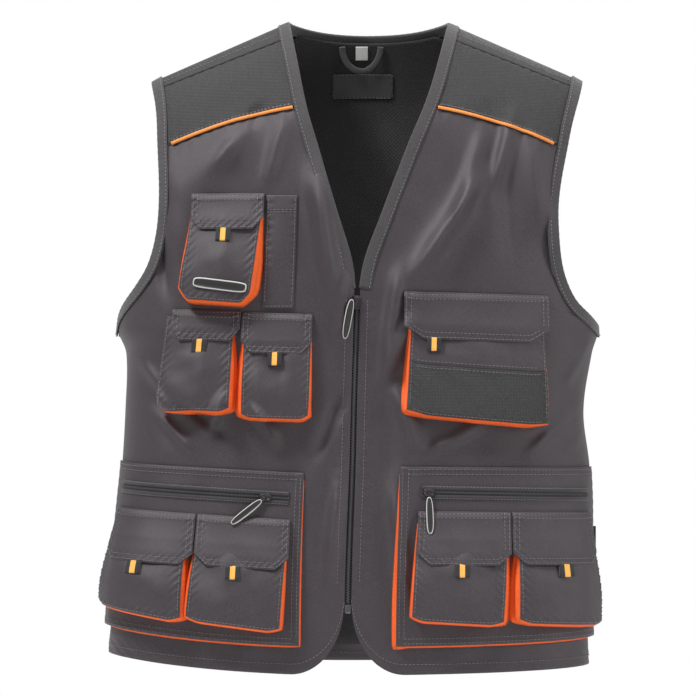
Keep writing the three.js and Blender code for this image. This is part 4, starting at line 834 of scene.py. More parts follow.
def bindEdge(name, points, normals, hollow, closed, node, flat):
    points, normals = soften(points, 6, closed), unit(soften(normals, 10, closed))
    into, out = edgeFrames(points, normals, hollow, closed)
    pucker = 0.22 * mm * (1 + np.sin(runAlong(points) * 2 * math.pi / (7.3 * mm)))
    pucker = pucker[:, None] * np.ones(len(bindingProfile))[None]
    verts, faces, uvs = sweepPiece(points, into, out, bindingProfile, closed, pucker)
    makePiece(name, verts, faces, uvs, tape, "binding_tape", [node], flat)
    rise = leg + wall + 0.25 * mm
    line = points + into * (bindingWidth - 2.2 * mm) + out * rise
    if closed:
        line, out = np.concatenate([line, line[:1]]), np.concatenate([out, out[:1]])
    stitchRow(line, out, radius=0.5, **bindingSeam)
    stitchRow(line - 2 * out * rise, -out, **bindingSeam)


def evenRow(points, normals, count):
    run = runAlong(points)
    at = np.linspace(0, run[-1], count)
    return readAlong(at, run, points), unit(readAlong(at, run, normals))


def armholeLine(sign):
    v = np.linspace(footRow + 1e-6, 1, 60)
    parts = [(front, *frontSpot(sign, np.zeros(60), v))]
    parts.append((front, *yokeSpot(sign, np.zeros(30), np.linspace(0.02, 1, 30))))
    w = np.concatenate([np.linspace(-2, 0, 8)[1:], np.linspace(0, 5, 50)[1:]])
    parts.append(backYokeSpot(np.full(len(w), 2.0 * sign), w))
    parts.append((back, *backSpot(np.full(60, float(sign)), np.linspace(0.01, 0.995, 60))))
    spots = [onBody(*part) for part in parts]
    points, normals = (np.concatenate([s[k] for s in spots]) for k in (0, 1))
    return evenRow(points, normals, 260)


for sign in (-1, 1):
    name = sideNames[sign]
    points, normals = armholeLine(sign)
    hollow = np.array([[sign * halfWidth, 0, armholeFoot + armholeDepth / 2]])
    bindEdge(f"armhole_{name}", points, normals, hollow, True, f"armhole_binding_{name}", (0.026, 0.7))

rises = []
for sign in (-1, 1):
    parts = [(front, *frontSpot(sign, np.ones(90), np.linspace(footRow, 1, 90)))]
    parts.append((front, *yokeSpot(sign, np.ones(30), np.linspace(0.02, 1, 30))))
    parts.append(backYokeSpot(np.full(6, 1.0 * sign), np.linspace(-2, 0, 6)))
    spots = [onBody(*part) for part in parts]
    rises.append([np.concatenate([s[k] for s in spots]) for k in (0, 1)])
behind = onBody(*backYokeSpot(np.linspace(-0.97, 0.97, 60), np.zeros(60)))
line = [np.concatenate([rises[0][k], behind[k], rises[1][k][::-1]]) for k in (0, 1)]
points, normals = evenRow(*line, 330)
hollow = np.stack([centreAt(points[:, 2]), points[:, 1] / 2, points[:, 2] + shoulderRound / 4], axis=1)
bindEdge("neck_edge", points, normals, hollow, False, "neck_binding", (0.026, 0.83))

for sign in (-1, 1):
    name = sideNames[sign]
    outer = armholeX(sign, np.array(-yokeArmDrop))
    inner = neckX(sign, np.array(-yokeNeckDrop))
    trim = 13.5 * mm / abs(outer - inner)
    x = lerp(outer, inner, np.linspace(trim * 1.1, 1 - trim, 120))
    z = pipingAt(sign, x)
    points, normals = onBody(front, angleOfX(x, z), z)
    into, out = edgeFrames(points, normals, points + np.array([[0, 0, 1]]))
    turns = np.arange(12) * 2 * math.pi / 12
    radius = 1.75 * mm
    wobble = 0.12 * mm * np.sin(np.arange(120) / 3)[:, None]
    profile = [(radius * math.cos(t), 2.1 * mm + radius * math.sin(t)) for t in turns]
    verts, faces, uvs = sweepPiece(points, into, out, profile, False, wobble * np.ones((1, 12)))
    makePiece(f"piping_cord_{name}", verts, faces, uvs, piping, "piping_cloth", [f"piping_{name}"])
    seamZ = z + 4.5 * mm
    stitchOn(front, angleOfX(x, seamZ), seamZ)
makeStitches("stitches_edges")
print("edges ready")

# Base pockets
basePocket = {"inner": 52 * mm, "top": 0.684, "margin": 31 * mm, "depth": 5 * mm, "rest": 1 * mm}
basePocket.update({"below": 1.8 * mm, "side": {-1: 1.2 * mm, 1: 4.2 * mm}})
baseFall = {-1: 12 * mm, 1: -2 * mm}
baseReach = 0.97


def swell(v):
    return 0.15 * np.minimum(1, 5 * v) + 0.85 * smooth(v / 0.8)


def baseEnds(sign, distance):
    topZ = -basePocket["top"] * bodyLength
    outerTop = girthOfAngle(sign, baseReach, topZ)
    u = np.clip((np.abs(distance) - basePocket["inner"]) / (outerTop - basePocket["inner"]), 0, 1)
    top = topZ + baseFall[sign] * (0.5 - (1 - u))
    low = np.full(np.shape(distance), -bodyLength)
    x = bodyPoint(front, angleOfGirth(distance, low), low, False)[..., 0]
    return top, hemAt(sign, x) + basePocket["margin"]


def baseSpot(sign, u, v):
    z = np.full(u.shape, -bodyLength)
    for _ in range(4):
        outer = girthOfAngle(sign, baseReach, z)
        distance = sign * lerp(basePocket["inner"], outer, u)
        top, foot = baseEnds(sign, distance)
        z = lerp(top, foot, v)
    return distance, z


def baseOffset(sign, distance, z):
    top, foot = baseEnds(sign, distance)
    return cloth + 0.3 * mm + basePocket["rest"] + basePocket["depth"] * swell(
        np.clip((top - z) / (top - foot), 0, 1)
    )


def layOn(name, distance, z, lift, nodes, kind, uvs=None):
    spots, normals = onBody(front, angleOfGirth(distance, z), z)
    uvs = np.stack([distance, z], axis=-1) if uvs is None else uvs
    layCloth(name, spots, normals, lift, uvs, nodes, kind)


def rowOn(distance, z, lift, **kind):
    stitchOn(front, angleOfGirth(distance, z), z, lift, **kind)


def gussetPiece(name, paths, nodes, flat):
    verts, faces, uvs, base = [], [], [], 0
    for distance, z, seat, lift, spread, centre in paths:
        line = np.stack([distance, z], axis=1)
        run = unit(np.gradient(line, axis=0))
        out = np.stack([-run[:, 1], run[:, 0]], axis=1)
        turned = np.sum(out * (line - centre), axis=1, keepdims=True) < 0
        out = unit(soften(np.where(turned, -out, out), 8))
        depth = lift - 0.9 * mm - seat
        rows = []
        for part in np.linspace(0, 1, 9):
            fold = -math.sin(part * 2 * math.pi) * 0.16
            aside = lerp(spread, -1.6 * mm, part) + fold * np.minimum(depth, 14 * mm)
            rows.append((aside, seat + 0.5 * mm + part * (depth - 0.5 * mm)))
        layers = []
        for shift in (0.45 * mm, -0.45 * mm):
            moved = [(out * (aside + shift)[:, None], rise) for aside, rise in rows]
            layers.append(np.stack([placeOn(distance + m[:, 0], z + m[:, 1], rise) for m, rise in moved]))
        uv = np.stack(np.broadcast_arrays(runAlong(line)[None], np.linspace(0, 0.018, 9)[:, None]), axis=-1)
        v, f, t = slab(*layers, uv)
        a, b, c = v[f[0][0]], v[f[0][1]], v[f[0][2]]
        if np.dot(np.cross(b - a, c - a), layers[0][0, 0] - layers[1][0, 0]) < 0:
            f = f[:, ::-1]
        verts.append(v)
        faces.append(f + base)
        uvs.append(t)
        base += len(v)
    whole = [np.concatenate(part) for part in (verts, faces, uvs)]
    makePiece(name, *whole, orange, "orange_cloth", nodes, flat)


zipKeys = ("from", "to", "fromZ", "toZ", "tip", "at", "lean")
zips = {}
for sign, row in ((-1, (262, 67, -506, -518, 4.5, 0.87, 50)), (1, (270, 76, -515, -511, 7, 0.96, -3))):
    zips[sign] = dict(zip(zipKeys, [value * mm for value in row[:5]] + list(row[5:])))


def teethRow(points, into, out, pitch=1.35, half=1.55, rise=(0.2, 1.4)):
    run = runAlong(points)
    at = np.arange(0.5 * pitch * mm, run[-1], pitch * mm)
    points, into, out = (readAlong(at, run, table) for table in (points, into, out))
    into, out = unit(into), unit(out)
    course = unit(np.cross(into, out))
    side = np.where(np.arange(len(at)) % 2 == 0, 1, -1)[:, None]
    verts = []
    for high, slim in ((rise[0], 1), (rise[1], 0.78)):
        for a, b in ((-0.35, -0.5), (1, -0.5), (1, 0.5), (-0.35, 0.5)):
            aside = into * side * a * half * mm * slim
            verts.append(points + aside + course * b * pitch * mm * 0.8 * slim + out * high * mm)
    verts = np.stack(verts, axis=1)
    quads = np.array([(0, 3, 2, 1), (4, 5, 6, 7), (0, 1, 5, 4), (1, 2, 6, 5), (2, 3, 7, 6), (3, 0, 4, 7)])
    faces = ((np.arange(len(at)) * 8)[:, None, None] + quads[None]).reshape(-1, 4)
    return verts.reshape(-1, 3), faces


def joinParts(parts):
    verts, faces, base = [], [], 0
    for v, f in parts:
        verts.append(np.asarray(v).reshape(-1, 3))
        faces += [[i + base for i in q] for q in np.asarray(f, dtype=object).tolist()]
        base += len(verts[-1])
    return np.concatenate(verts), faces


plateSteps = 28
plateRim = (plateSteps, 3 * plateSteps)


def pullPlate(distance, z, length, width, lean, inner, thick, tip=0.0, power=3.2):
    rings = [(1, 0), (1.0, 0.5), (0.9, 1), (0.76, 1), (0.7, 0.8), (0.35, 0.8), (0.02, 0.8)]
    count = plateSteps
    turn = math.radians(lean)
    verts = []
    for share, rise in rings:
        t = np.arange(count) * 2 * math.pi / count
        inset = (1 - share) * width / 2
        a = np.sign(np.cos(t)) * np.abs(np.cos(t)) ** (2 / power) * (width / 2 - inset)
        b = np.sign(np.sin(t)) * np.abs(np.sin(t)) ** (2 / power) * (length / 2 - inset)
        d = distance + a * math.cos(turn) + b * math.sin(turn)
        h = z - a * math.sin(turn) + b * math.cos(turn)
        base = inner(d, h) if callable(inner) else inner
        verts.append(placeOn(d, h, base + thick * rise + tip * (0.5 - b / length)))
    faces = []
    for r in range(len(rings) - 1):
        for i in range(count):
            k = (i + 1) % count
            faces.append([r * count + i, r * count + k, (r + 1) * count + k, (r + 1) * count + i])
    faces.append([(len(rings) - 1) * count + i for i in range(count)])
    faces.append([i for i in range(count)][::-1])
    return np.concatenate(verts), faces


def pouchRows(count, du, dv, reach, top=False):
    t = np.linspace(0.02, 0.98, count)
    rows = [(np.full(count, du), t * reach), (np.full(count, 1 - du), t * reach)]
    rows.append((lerp(du, 1 - du, t), np.full(count, 1 - dv)))
    return rows + ([(t, np.full(count, dv))] if top else [])


baseCloth = {"wall": cloth, "material": twill, "slot": "twill", "flat": (0.235, 0.2), "area": 0.042}
zipCloth = {"wall": 0.5 * mm, "material": zipTape, "slot": "zip_tape", "flat": (0.195, 0.016)}
rowLift = 0.65 * mm  # a pocket's middle to a stitch on its face


def baseFront(sign, name):
    u, v = gridOf(np.linspace(0, 1, 120), np.linspace(0, 1, 72))
    distance, z = baseSpot(sign, u, v)
    margin = np.minimum(np.minimum(u, 1 - u) * 0.21, (1 - v) * 0.17)
    lift = baseOffset(sign, distance, z) - 0.5 * mm * np.exp(-((margin / (2.5 * mm)) ** 2))
    lift = lift + ripple(margin - 4 * mm, distance + z, 10, 0.35, 7)
    layOn(f"base_front_{name}", distance, z, lift, [f"base_pocket_front_{name}"], baseCloth)
    t = np.linspace(0.03, 0.97, 160)
    for inset in (3, 8):
        shareDown, shareIn = np.full(160, inset / 190), np.full(160, inset / 235)
        for us, vs in ((t, shareDown), (t, np.full(160, 1 - inset / 190)), (shareIn, t)):
            distance, z = baseSpot(sign, us, vs)
            rowOn(distance, z, baseOffset(sign, distance, z) + rowLift)


def baseGusset(sign, name):
    t = np.linspace(0, 1, 90)
    us = np.concatenate([np.zeros(90), t[1:]])
    vs = np.maximum(np.concatenate([t, np.ones(89)]), 0.04)
    distance, z = baseSpot(sign, us, vs)
    side = np.clip(1 - us / 0.05, 0, 1)
    spread = lerp(basePocket["below"], basePocket["side"][sign], side) * swell(vs)
    middle = np.array([[distance.mean(), z.mean() + 0.05]])
    path = (distance, z, 0 * z, baseOffset(sign, distance, z), spread, middle)
    gussetPiece(f"base_gusset_{name}", [path], [f"base_pocket_gusset_{name}"], (0.012, 0.36))


def baseZip(sign, name):
    kind = zips[sign]

    def along(t):
        return sign * lerp(kind["from"], kind["to"], t), lerp(kind["fromZ"], kind["toZ"], t)

    distance, z = along(np.linspace(0, 1, 160))
    lift = baseOffset(sign, distance, z) + 0.8 * mm
    across = np.linspace(-1, 1, 29)
    welt = np.abs(across)
    rise = np.where(welt > 0.36, 1.5 * np.exp(-(((welt - 0.62) / 0.3) ** 4)), 0.2) * mm
    d = distance[None] + 0 * across[:, None]
    h = z[None] + across[:, None] * 7.2 * mm
    layOn(f"base_zip_tape_{name}", d, h, lift[None] + rise[:, None], [f"base_zip_{name}"], zipCloth)
    for away in (-6.3, 6.3):
        rowOn(distance, z + away * mm, lift + 1.1 * mm, length=2.4)
    points, normals = onBody(front, angleOfGirth(distance, z), z)
    into, out = edgeFrames(points, normals, points + np.array([[0, 0, 1]]))
    teeth = teethRow(points + out * (lift + 0.1 * mm)[:, None], into, out)
    makePiece(f"base_zip_teeth_{name}", *teeth, None, teethPlastic, "zip_tape")
    d0, z0 = along(kind["at"])
    seat = float(baseOffset(sign, np.array(d0), np.array(z0))) + 2.6 * mm
    lean, turn = kind["lean"], math.radians(kind["lean"])

    def hanging(away):
        return d0 - math.sin(turn) * away * mm, z0 - math.cos(turn) * away * mm

    body = pullPlate(d0, z0, 9 * mm, 13 * mm, 0, seat - 0.4 * mm, 2.4 * mm)
    bar = pullPlate(*hanging(4), 9 * mm, 3.4 * mm, lean, seat + 1.6 * mm, 1.2 * mm)
    piece = joinParts([body, bar])
    makePiece(f"base_slider_{name}", *piece, None, zipMetal, "zip_metal", [f"base_zip_slider_{name}"])
    tip = kind["tip"] * 0.9
    pull = pullPlate(*hanging(25), 40 * mm, 8 * mm, lean, seat + 1.5 * mm, 2 * mm, tip, 2.8)
    makePiece(f"base_puller_{name}", *pull, None, rubber, "rubber", rim=plateRim)


for sign in (-1, 1):
    baseFront(sign, sideNames[sign])
    baseGusset(sign, sideNames[sign])
    baseZip(sign, sideNames[sign])
print("base pockets ready")

# Bellows pockets, sizes in millimetres as in the part
pocketKeys = ("name", "sign", "centre", "top", "tilt", "base")
pouchKeys = ("part", "tilt", "flap", "drop", "start", "width", "foot", "shift", "lean", "height")
pouchKeys += ("depth", "chamfer", "inward", "outward", "below", "tab")
pocketRows = {
    ("phone_pocket", -1, 0.548, 0.267, 0, False): [
        ("", 0.07, 79, 39, 0, 77, 74, 0, 8, 116, 20, 12, 9, 2, 5, 2),
    ],
    ("middle_pocket", -1, 0.473, 0.446, 0.03, False): [
        ("_outer", 0, 75, 32, 0, 74, 75, 7, 2, 108, 17, 4, 8, 2, 5, 5),
        ("_inner", 0, 76, 43, 1, 72, 72, -1, 0, 113, 17, 4, 2, 8, 4, 1),
    ],
    ("chest_pocket", 1, 0.495, 0.419, -0.03, False): [
        ("", -0.065, 157, 50, 0, 142, 150, 1, 1, 136, 15, 3, 6, 2, 4, -46),
    ],
    ("lower_pocket_right", -1, 0.63, 0.755, 0.06, True): [
        ("_outer", 0.12, 99, 56, 0, 95, 94, 7, 1, 111, 17, 5, 6, 1, 3, 8),
        ("_inner", 0.07, 100, 55, 0, 96, 98, 0, 7, 117, 17, 4, 3, 6, 3, 8),
    ],
    ("lower_pocket_left", 1, 0.66, 0.752, -0.01, True): [
        ("_outer", -0.05, 99, 57, 0, 94, 94, 5, 0, 121, 17, 4, 9, 1, 3, 4),
        ("_inner", -0.05, 100, 58, 0, 97, 96, -1, -5, 119, 17, 4, 2, 9, 3, -2),
    ],
}
pocketSplit = {"chest_pocket": 0.56}  # where the front's upper cloth meets the lower one
pocketSets = []
for pocket, pouches in pocketRows.items():
    kind = dict(zip(pocketKeys, pocket))
    kind["pouches"] = [dict(zip(pouchKeys, row)) for row in pouches]
    pocketSets.append(kind)
pairGap, frontStart, frontClear, flapClear = 1.2 * mm, 8 * mm, 1.4 * mm, 1.2 * mm
flapWall, flapCut = 1.4 * mm, 13 * mm


class Pouch:
    def __init__(self, kind, index):
        given = kind["pouches"][index]
        self.row = {key: given[key] * mm for key in pouchKeys[2:]}
        self.row.update({"part": given["part"], "tilt": given["tilt"]})
        self.split = pocketSplit.get(kind["name"])
        self.kind, self.sign = kind, kind["sign"]
        aside = (1 if index == 0 else -1) if len(kind["pouches"]) > 1 else 0
        self.middle = kind["centre"] * halfWidth + aside * (self.row["flap"] + pairGap) / 2

    def topAt(self, distance):
        kind = self.kind
        slope = kind["tilt"] * (distance - kind["centre"] * halfWidth)
        return -kind["top"] * bodyLength - self.row["start"] + slope

    def frontMiddle(self, v):
        return self.middle + self.row["shift"] + self.row["lean"] * v

    def frontWidth(self, v):
        return lerp(self.row["width"], self.row["foot"], v)

    def seat(self, distance, z):
        return baseOffset(self.sign, self.sign * distance, z) if self.kind["base"] else 0 * distance

    def lift(self, distance, z):
        v = np.clip((self.topAt(distance) - frontStart - z) / (self.row["height"] - frontStart), 0, 1)
        across = np.clip((distance - self.frontMiddle(v)) / self.frontWidth(v) + 0.5, 0, 1)
        crown = 0.8 + 0.2 * np.sin(math.pi * across)
        return self.seat(distance, z) + cloth + frontClear + self.row["depth"] * swell(v) * crown

    def spot(self, u, v):
        row = self.row
        distance = self.frontMiddle(v) + (u - 0.5) * self.frontWidth(v)
        start = self.topAt(distance) - frontStart
        foot = self.topAt(distance) - row["height"] + row["tilt"] * (distance - self.frontMiddle(1))
        corner = np.clip(1 - np.minimum(u, 1 - u) / 0.14, 0, 1)
        return distance, lerp(start, foot + row["chamfer"] * corner**1.4, v)

    def flapSpot(self, u, v):
        distance = self.middle + (u - 0.5) * self.row["flap"]
        corner = np.clip(1 - np.minimum(u, 1 - u) / 0.14, 0, 1)
        return distance, self.topAt(distance) - (self.row["drop"] - flapCut * corner) * v


def pouchLift(pouch, u, v, distance, z):
    row = pouch.row
    margin = np.minimum(np.minimum(u, 1 - u) * row["width"], (1 - v) * row["height"])
    lift = pouch.lift(distance, z) - 0.7 * mm * np.exp(-((margin / (2.2 * mm)) ** 2))
    lift = lift + ripple(margin - 4 * mm, distance + z, 9, 0.4, 6)
    puff = np.sin(math.pi * np.clip(u, 0, 1)) * np.sin(math.pi * np.clip(v, 0, 1))
    seed = pouch.middle * 137
    crease = np.sin((u * 2.3 + v * 1.7 + seed) * 3.1) * np.sin((v * 2.1 - u * 1.1 + seed) * 2.7)
    fine = np.sin(distance / (4.1 * mm) + z / (6.3 * mm) + seed)
    fine = fine * np.sin(z / (7.7 * mm) - distance / (9.1 * mm))
    return lift + puff * (1.2 + 2.6 * crease + 0.35 * fine) * mm


def pouchFront(pouch, name):
    row, sign = pouch.row, pouch.sign
    ranges = [(0, 1, "", twill, "twill")]
    if pouch.split:
        ranges = [(0, pouch.split - 0.001, "_upper", twill, "twill")]
        ranges.append((pouch.split + 0.001, 1, "_lower", oxford, "oxford"))
    for low, high, part, material, slot in ranges:
        u, v = gridOf(np.linspace(0, 1, 64), np.linspace(low, high, 72 if part == "" else 44))
        distance, z = pouch.spot(u, v)
        lift = pouchLift(pouch, u, v, distance, z)
        if part:
            seam = np.abs(v - pouch.split) * row["height"]
            lift = lift - 0.5 * mm * np.exp(-((seam / (1.6 * mm)) ** 2))
        flat = (row["width"] * 1.05, row["height"] * (high - low))
        look = {"wall": cloth, "material": material, "slot": slot, "flat": flat}
        layOn(f"{name}_cloth{part}", sign * distance, z, lift, [f"{name}_front{part}"], look)
    inset = 2.4 * mm
    rows = pouchRows(140, inset / row["width"], inset / row["height"], 1 - inset / row["height"])
    spots = [pouch.spot(us, vs) for us, vs in rows]
    if pouch.split:
        t = np.linspace(0.02, 0.98, 140)
        for away in (-0.03, 0.025):
            vs = np.full(140, pouch.split + away)
            rows.append((t, vs))
            spots.append(pouch.spot(lerp(0.03, 0.97, t), vs))
    for (us, vs), (distance, z) in zip(rows, spots):
        rowOn(sign * distance, z, pouchLift(pouch, us, vs, distance, z) + rowLift)


# The line that a gusset follows round the front's edge
def pouchEdge(pouch):
    row, sign = pouch.row, pouch.sign
    down = np.linspace(0.05, 1, 60)
    us = np.concatenate([np.zeros(60), np.linspace(0, 1, 50)[1:-1], np.ones(60)])
    vs = np.concatenate([down, np.ones(48), down[::-1]])
    distance, z = pouch.spot(us, vs)
    spreads = np.where(us == 0, row["inward"], np.where(us == 1, row["outward"], row["below"]))
    spreads = soften(spreads[:, None], 12)[:, 0] * swell(vs)
    centre = np.array([[sign * distance.mean(), z.mean()]])
    return sign * distance, z, pouch.seat(distance, z), pouch.lift(distance, z), spreads, centre


def flapLift(pouch, v, distance, z):
    lift = pouch.lift(distance, z) + cloth / 2 + flapClear
    seat = pouch.seat(distance, z) + cloth / 2 + 0.35 * mm
    fall = smooth(v * pouch.row["drop"] / (7 * mm))
    wave = 0.8 * mm * np.sin(distance / (17 * mm) + pouch.middle * 90) * v
    return lerp(seat + 0.2 * mm, np.maximum(lift, seat), fall) + wave


def pouchFlap(pouch, name):
    row, sign = pouch.row, pouch.sign
    u, v = gridOf(np.linspace(0, 1, 72), np.linspace(0, 1, 44))
    distance, z = pouch.flapSpot(u, v)
    margin = np.minimum(np.minimum(u, 1 - u) * row["flap"], (1 - v) * row["drop"])
    pinch = np.exp(-((margin / (1.3 * mm)) ** 2))
    groove = np.exp(-(((margin - 2.2 * mm) / (0.8 * mm)) ** 2))
    groove = groove + np.exp(-(((margin - 7 * mm) / (0.9 * mm)) ** 2))
    puff = ripple(margin - 4.5 * mm, distance + z, 8, 0.3, 6)
    puff = puff + 0.5 * mm * smooth((margin - 7 * mm) / (8 * mm))
    wall = flapWall * (1.15 - 0.45 * pinch) - 0.3 * mm * groove
    flat = (row["flap"], row["drop"])
    look = {"wall": wall, "material": twill, "slot": "twill", "flat": flat}
    lift = flapLift(pouch, v, distance, z) + flapWall / 2 + puff
    layOn(f"{name}_flap_cloth", sign * distance, z, lift, [f"{name}_flap"], look)
    for inset in (2.4 * mm, 7.2 * mm):
        du, dv = inset / row["flap"], inset / row["drop"]
        for us, vs in pouchRows(120, du, dv, 1 - dv, True):
            distance, z = pouch.flapSpot(us, vs)
            rowOn(sign * distance, z, flapLift(pouch, vs, distance, z) + flapWall + 0.25 * mm)


def pouchTab(pouch, name):
    place = pouch.middle + pouch.row["tab"]
    u, v = gridOf(np.linspace(-1, 1, 17), np.linspace(0, 1, 14))
    distance = place + u * 7.6 * mm
    z = pouch.topAt(distance * 0 + place) - pouch.row["drop"] + 2 * mm - v * 14.5 * mm
    full = np.sqrt(np.clip(1 - ((v - 0.5) * 2) ** 6, 0, 1))
    lift = pouch.lift(distance, z) + cloth / 2 + 2.4 * mm
    uvs = np.stack([u * 7.6 * mm, z], axis=-1)
    flat = (15.5 * mm, 20 * mm)
    look = {"wall": (0.5 + 1.9 * full) * mm, "material": tabWeb, "slot": "webbing", "flat": flat}
    layOn(f"{name}_tab_web", pouch.sign * distance, z, lift, [f"{name}_tab"], look, uvs)


for kind in pocketSets:
    pouches = [Pouch(kind, index) for index in range(len(kind["pouches"]))]
    for pouch in pouches:
        name = kind["name"] + pouch.row["part"]
        pouchFront(pouch, name)
        pouchFlap(pouch, name)
        pouchTab(pouch, name)
    name, paths = kind["name"], [pouchEdge(pouch) for pouch in pouches]
    flatLength = sum(2 * pouch.row["height"] + pouch.row["width"] for pouch in pouches)
    gussetPiece(f"{name}_bellows", paths, [f"{name}_gusset"], (0.019, flatLength))
makeStitches("stitches_pockets")
print("pockets ready")

# Pen pocket and the blank badge
pen = {"width": 34 * mm, "length": 122 * mm, "crown": 3.4 * mm}
penCloth = {"wall": cloth, "material": twill, "slot": "twill", "flat": (0.036, 0.123)}
phone = Pouch(pocketSets[0], 0)
penEdge = phone.middle - phone.row["flap"] / 2 - 2 * mm


def penSpot(u, v):
    top = phone.topAt(np.full(u.shape, phone.middle)) - 2 * mm
    return -(penEdge - (1 - u) * pen["width"]), top - v * pen["length"]


def penCrown(u, v):
    return pen["crown"] * np.sin(math.pi * u) * np.sin(math.pi * np.clip(v * 0.9 + 0.05, 0, 1))


u, v = gridOf(np.linspace(0, 1, 30), np.linspace(0, 1, 80))
distance, z = penSpot(u, v)
margin = np.minimum(np.minimum(u, 1 - u) * pen["width"], (1 - v) * pen["length"])
lift = 1.6 * mm + penCrown(u, v) + ripple(margin - 3 * mm, z, 9, 0.3, 5)
layOn("pen_pocket_cloth", distance, z, lift, ["pen_pocket"], penCloth)
t = np.linspace(0.03, 0.97, 90)
penRows = [(np.full(90, share), t) for share in (0.07, 0.93)]
penRows += [(t, np.full(90, share)) for share in (0.98, 0.13, 0.15)]
for us, vs in penRows:
    rowOn(*penSpot(us, vs), 2.3 * mm + penCrown(us, vs))
badgeSpot = -phone.middle - 2 * mm, float(phone.topAt(phone.middle)) - 98.7 * mm


def badgeSeat(distance, z):
    return phone.lift(-distance, z) + cloth / 2 + 1.2 * mm


badge = pullPlate(*badgeSpot, 56 * mm, 11.4 * mm, 97, badgeSeat, 1.6 * mm, power=5)
makePiece("badge", *badge, None, rubber, "rubber", ["phone_pocket_badge"], rim=plateRim)
print("trims ready")

# Main zip
t = np.linspace(0, 1, 240)
zipFoot = -bodyLength + 78 * mm
z = lerp(-neckDepth - 12 * mm, zipFoot, t)
points, normals = onBody(front, angleOfX(centreAt(z), z), z)
into, out = edgeFrames(points, normals, points + np.array([[1, 0, 0]]))
tapeTop = [(-13, -1.7), (-2, -1.7), (-1.6, -1.4), (1.6, -1.4), (2, -1.7), (13, -1.7)]
profile = np.array(tapeTop + [(13, -2.4), (-13, -2.4)]) * mm
verts, faces, uvs = sweepPiece(points, into, out, profile)
makePiece("zip_tapes", verts, faces, uvs, zipTape, "zip_tape", ["main_zip"], (0.027, 0.33))
teeth = teethRow(points - out * 1.3 * mm, into, out, 1.45, 2.3, (0, 1.9))
makePiece("zip_teeth_rows", *teeth, None, teethPlastic, "zip_tape")
sliderZ = -neckDepth - 15.5 * mm
body = pullPlate(0, sliderZ, 15 * mm, 9 * mm, 0, 1.3 * mm, 2.4 * mm, 0, 3.5)
bar = pullPlate(-1 * mm, sliderZ - 2 * mm, 10 * mm, 3.2 * mm, 4, 3.4 * mm, 1.3 * mm)
makePiece("zip_slider", *joinParts([body, bar]), None, zipMetal, "zip_metal", ["main_zip_slider"])
pull = pullPlate(-9 * mm, -neckDepth - 33 * mm, 43 * mm, 8.2 * mm, 8, 4 * mm, 2 * mm, 0, 2.8)
makePiece("zip_puller", *pull, None, rubber, "rubber", ["main_zip_puller"], rim=plateRim)
pin = pullPlate(0, zipFoot - 6.75 * mm, 9.5 * mm, 7 * mm, 0, -1 * mm, 2.6 * mm, 0, 5)
makePiece("zip_box", *pin, None, teethPlastic, "zip_metal", ["zip_pin_box"])


# Inside the back neck
def onLining(x, z, depth):
    points, normals = onBody(back, angleOfX(x, z), z)
    return points - normals * np.asarray(depth)[..., None], normals


t = np.linspace(0, math.pi, 60)
x, z = -7 * mm - 22.5 * mm * np.cos(t), -19 * mm - 26 * mm * np.sin(t)
points, normals = onLining(x, z, 6.4 * mm + 5 * mm * np.sin(t))
into, out = edgeFrames(points, normals, np.array([[-7 * mm, 60 * mm, -19 * mm]]))
stripTop = [(-3.4, 0.2), (-3.4, 0.6), (-2.4, 0.9), (2.4, 0.9), (3.4, 0.6)]
profile = np.array(stripTop + [(3.4, -0.2), (2.4, -0.6), (-2.4, -0.6)]) * mm
verts, faces, uvs = sweepPiece(points, into, out, profile)
makePiece("loop_strip", verts, faces, uvs, tape, "webbing", ["hanger_loop"])
# Left, right, top and bottom in millimetres, as they lie on the lining
labels = {
    "size_label": {"box": (-14, 0.6, -19, -34), "look": (tagCloth, "white_tag"), "node": "size_tag"},
    "neck_patch": {"box": (-39, 28, -50, -76), "look": (labelCloth, "label_cloth"), "node": "neck_label"},
}
labelDepth, labelWall, labelStitch = 6 * mm, 0.6 * mm, 0.4 * mm
for name, kind in labels.items():
    left, right, high, low = np.array(kind["box"]) * mm
    u, v = gridOf(np.linspace(left, right, 40), np.linspace(high, low, 24))
    points, normals = onLining(u, v, np.full(u.shape, labelDepth))
    material, slot = kind["look"]
    flat = ((right - left) * 1.01, (high - low) * 1.1)
    look = {"wall": labelWall, "material": material, "slot": slot, "flat": flat}
    layCloth(name, points, normals, 0, np.stack([u, v], axis=-1), [kind["node"]], look)
    if name == "neck_patch":
        for side in (0, -1):
            stitchRow(points[side] - normals[side] * labelStitch, -normals[side])
            stitchRow(points[:, side] - normals[:, side] * labelStitch, -normals[:, side])

# The flag in the side seam stands where the part has it
flagCloth = {"wall": 1 * mm, "material": labelCloth, "slot": "label_cloth", "flat": (0.0102, 0.046)}
low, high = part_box("side_flag_tag")
u, v = gridOf(np.linspace(0, 1, 10), np.linspace(0, 1, 30))
wavy = (low[1] + high[1]) / 2 + 1.2 * mm * np.sin(u * 2.5 + v)
spots = np.stack([lerp(low[0] - 3 * mm, high[0], u), wavy, lerp(high[2], low[2], v)], axis=-1)
normals = np.broadcast_to(np.array([0.0, -1.0, 0.0]), spots.shape)
uvs = np.stack([u * 0.01, v * 0.045], axis=-1)
layCloth("flag", spots, normals, 0, uvs, ["side_flag_tag"], flagCloth)
makeStitches("stitches_trims")


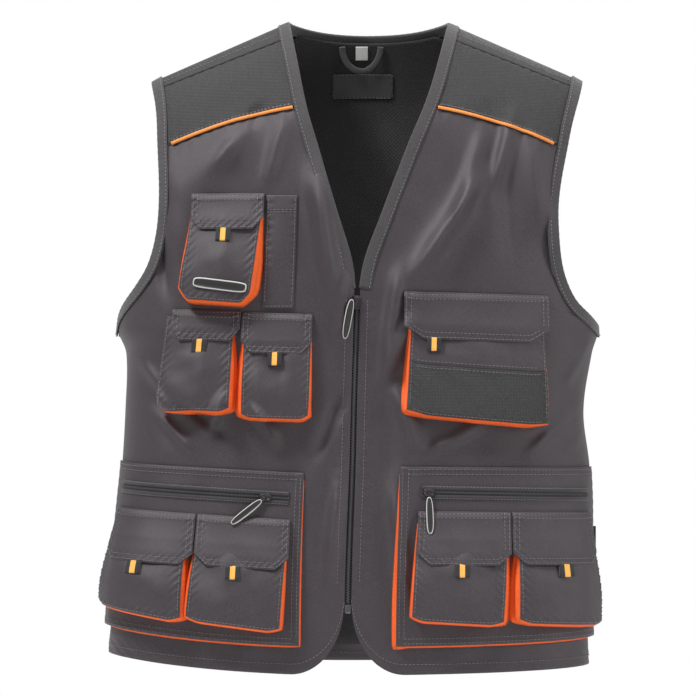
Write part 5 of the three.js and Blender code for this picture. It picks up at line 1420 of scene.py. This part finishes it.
# Floor, lights and camera
def makeStage():
    floorZ, reach = -1.0, 2.2
    corners = ((-1, -1), (1, -1), (1, 1), (-1, 1))
    verts = [(x * reach, y * reach, floorZ) for x, y in corners]
    mesh = bpy.data.meshes.new("floor")
    mesh.from_pydata(verts, [], [(0, 1, 2, 3)])
    pale = bpy.data.materials.new("pale_floor")
    pale.use_nodes = True
    shader = pale.node_tree.nodes["Principled BSDF"]
    shader.inputs["Base Color"].default_value = (0.92, 0.92, 0.92, 1)
    shader.inputs["Roughness"].default_value = 0.9
    mesh.materials.append(pale)
    floor = bpy.data.objects.new("floor", mesh)
    bpy.context.scene.collection.objects.link(floor)


lamps = [
    {"name": "key", "at": (-1.5, -1.1, 1.9), "size": 0.55, "power": 84},
    {"name": "fill", "at": (2.3, -1.1, 0.3), "size": 0.8, "power": 24},
    {"name": "top", "at": (0.3, -0.7, 1.7), "size": 0.7, "power": 20},
    {"name": "rim", "at": (0.4, 2.0, 1.2), "size": 1.5, "power": 14},
]
target = np.array([-0.02, 0, -0.36])
makeStage()
for lamp in lamps:
    data = bpy.data.lights.new(lamp["name"], "AREA")
    data.energy, data.size = lamp["power"], lamp["size"]
    light = bpy.data.objects.new(lamp["name"], data)
    bpy.context.scene.collection.objects.link(light)
    light.location = lamp["at"]
    aim = mathutils.Vector(target - np.array(lamp["at"]))
    light.rotation_euler = aim.to_track_quat("-Z", "Y").to_euler()

world = bpy.data.worlds.new("studio")
bpy.context.scene.world = world
world.use_nodes = True
nodes, links = world.node_tree.nodes, world.node_tree.links
background = nodes["Background"]
background.inputs["Color"].default_value = (1, 1, 1, 1)
background.inputs["Strength"].default_value = 0.4
# Soft light for the vest, and plain white where the background itself is seen
seen = nodes.new("ShaderNodeBackground")
seen.inputs["Color"].default_value = (1, 1, 1, 1)
rays, mixed = nodes.new("ShaderNodeLightPath"), nodes.new("ShaderNodeMixShader")
links.new(rays.outputs["Is Camera Ray"], mixed.inputs[0])
links.new(background.outputs[0], mixed.inputs[1])
links.new(seen.outputs[0], mixed.inputs[2])
links.new(mixed.outputs[0], nodes["World Output"].inputs["Surface"])

# The photo is 696 pixels wide at 1.084 mm to the pixel, taken level from the front
photoWidth = 696 * 1.084 * mm
cameraAway = 5.0
cameraData = bpy.data.cameras.new("camera")
cameraData.sensor_width = 36
cameraData.lens = 36 * (cameraAway - 0.06) / photoWidth
cameraData.clip_end = 50
camera = bpy.data.objects.new("camera", cameraData)
camera.location = (-21.7 * mm, -cameraAway, -355.6 * mm)
camera.rotation_euler = (math.pi / 2, 0, 0)
bpy.context.scene.collection.objects.link(camera)
bpy.context.scene.camera = camera
bpy.context.scene.view_settings.view_transform = "Standard"
print("stage ready")
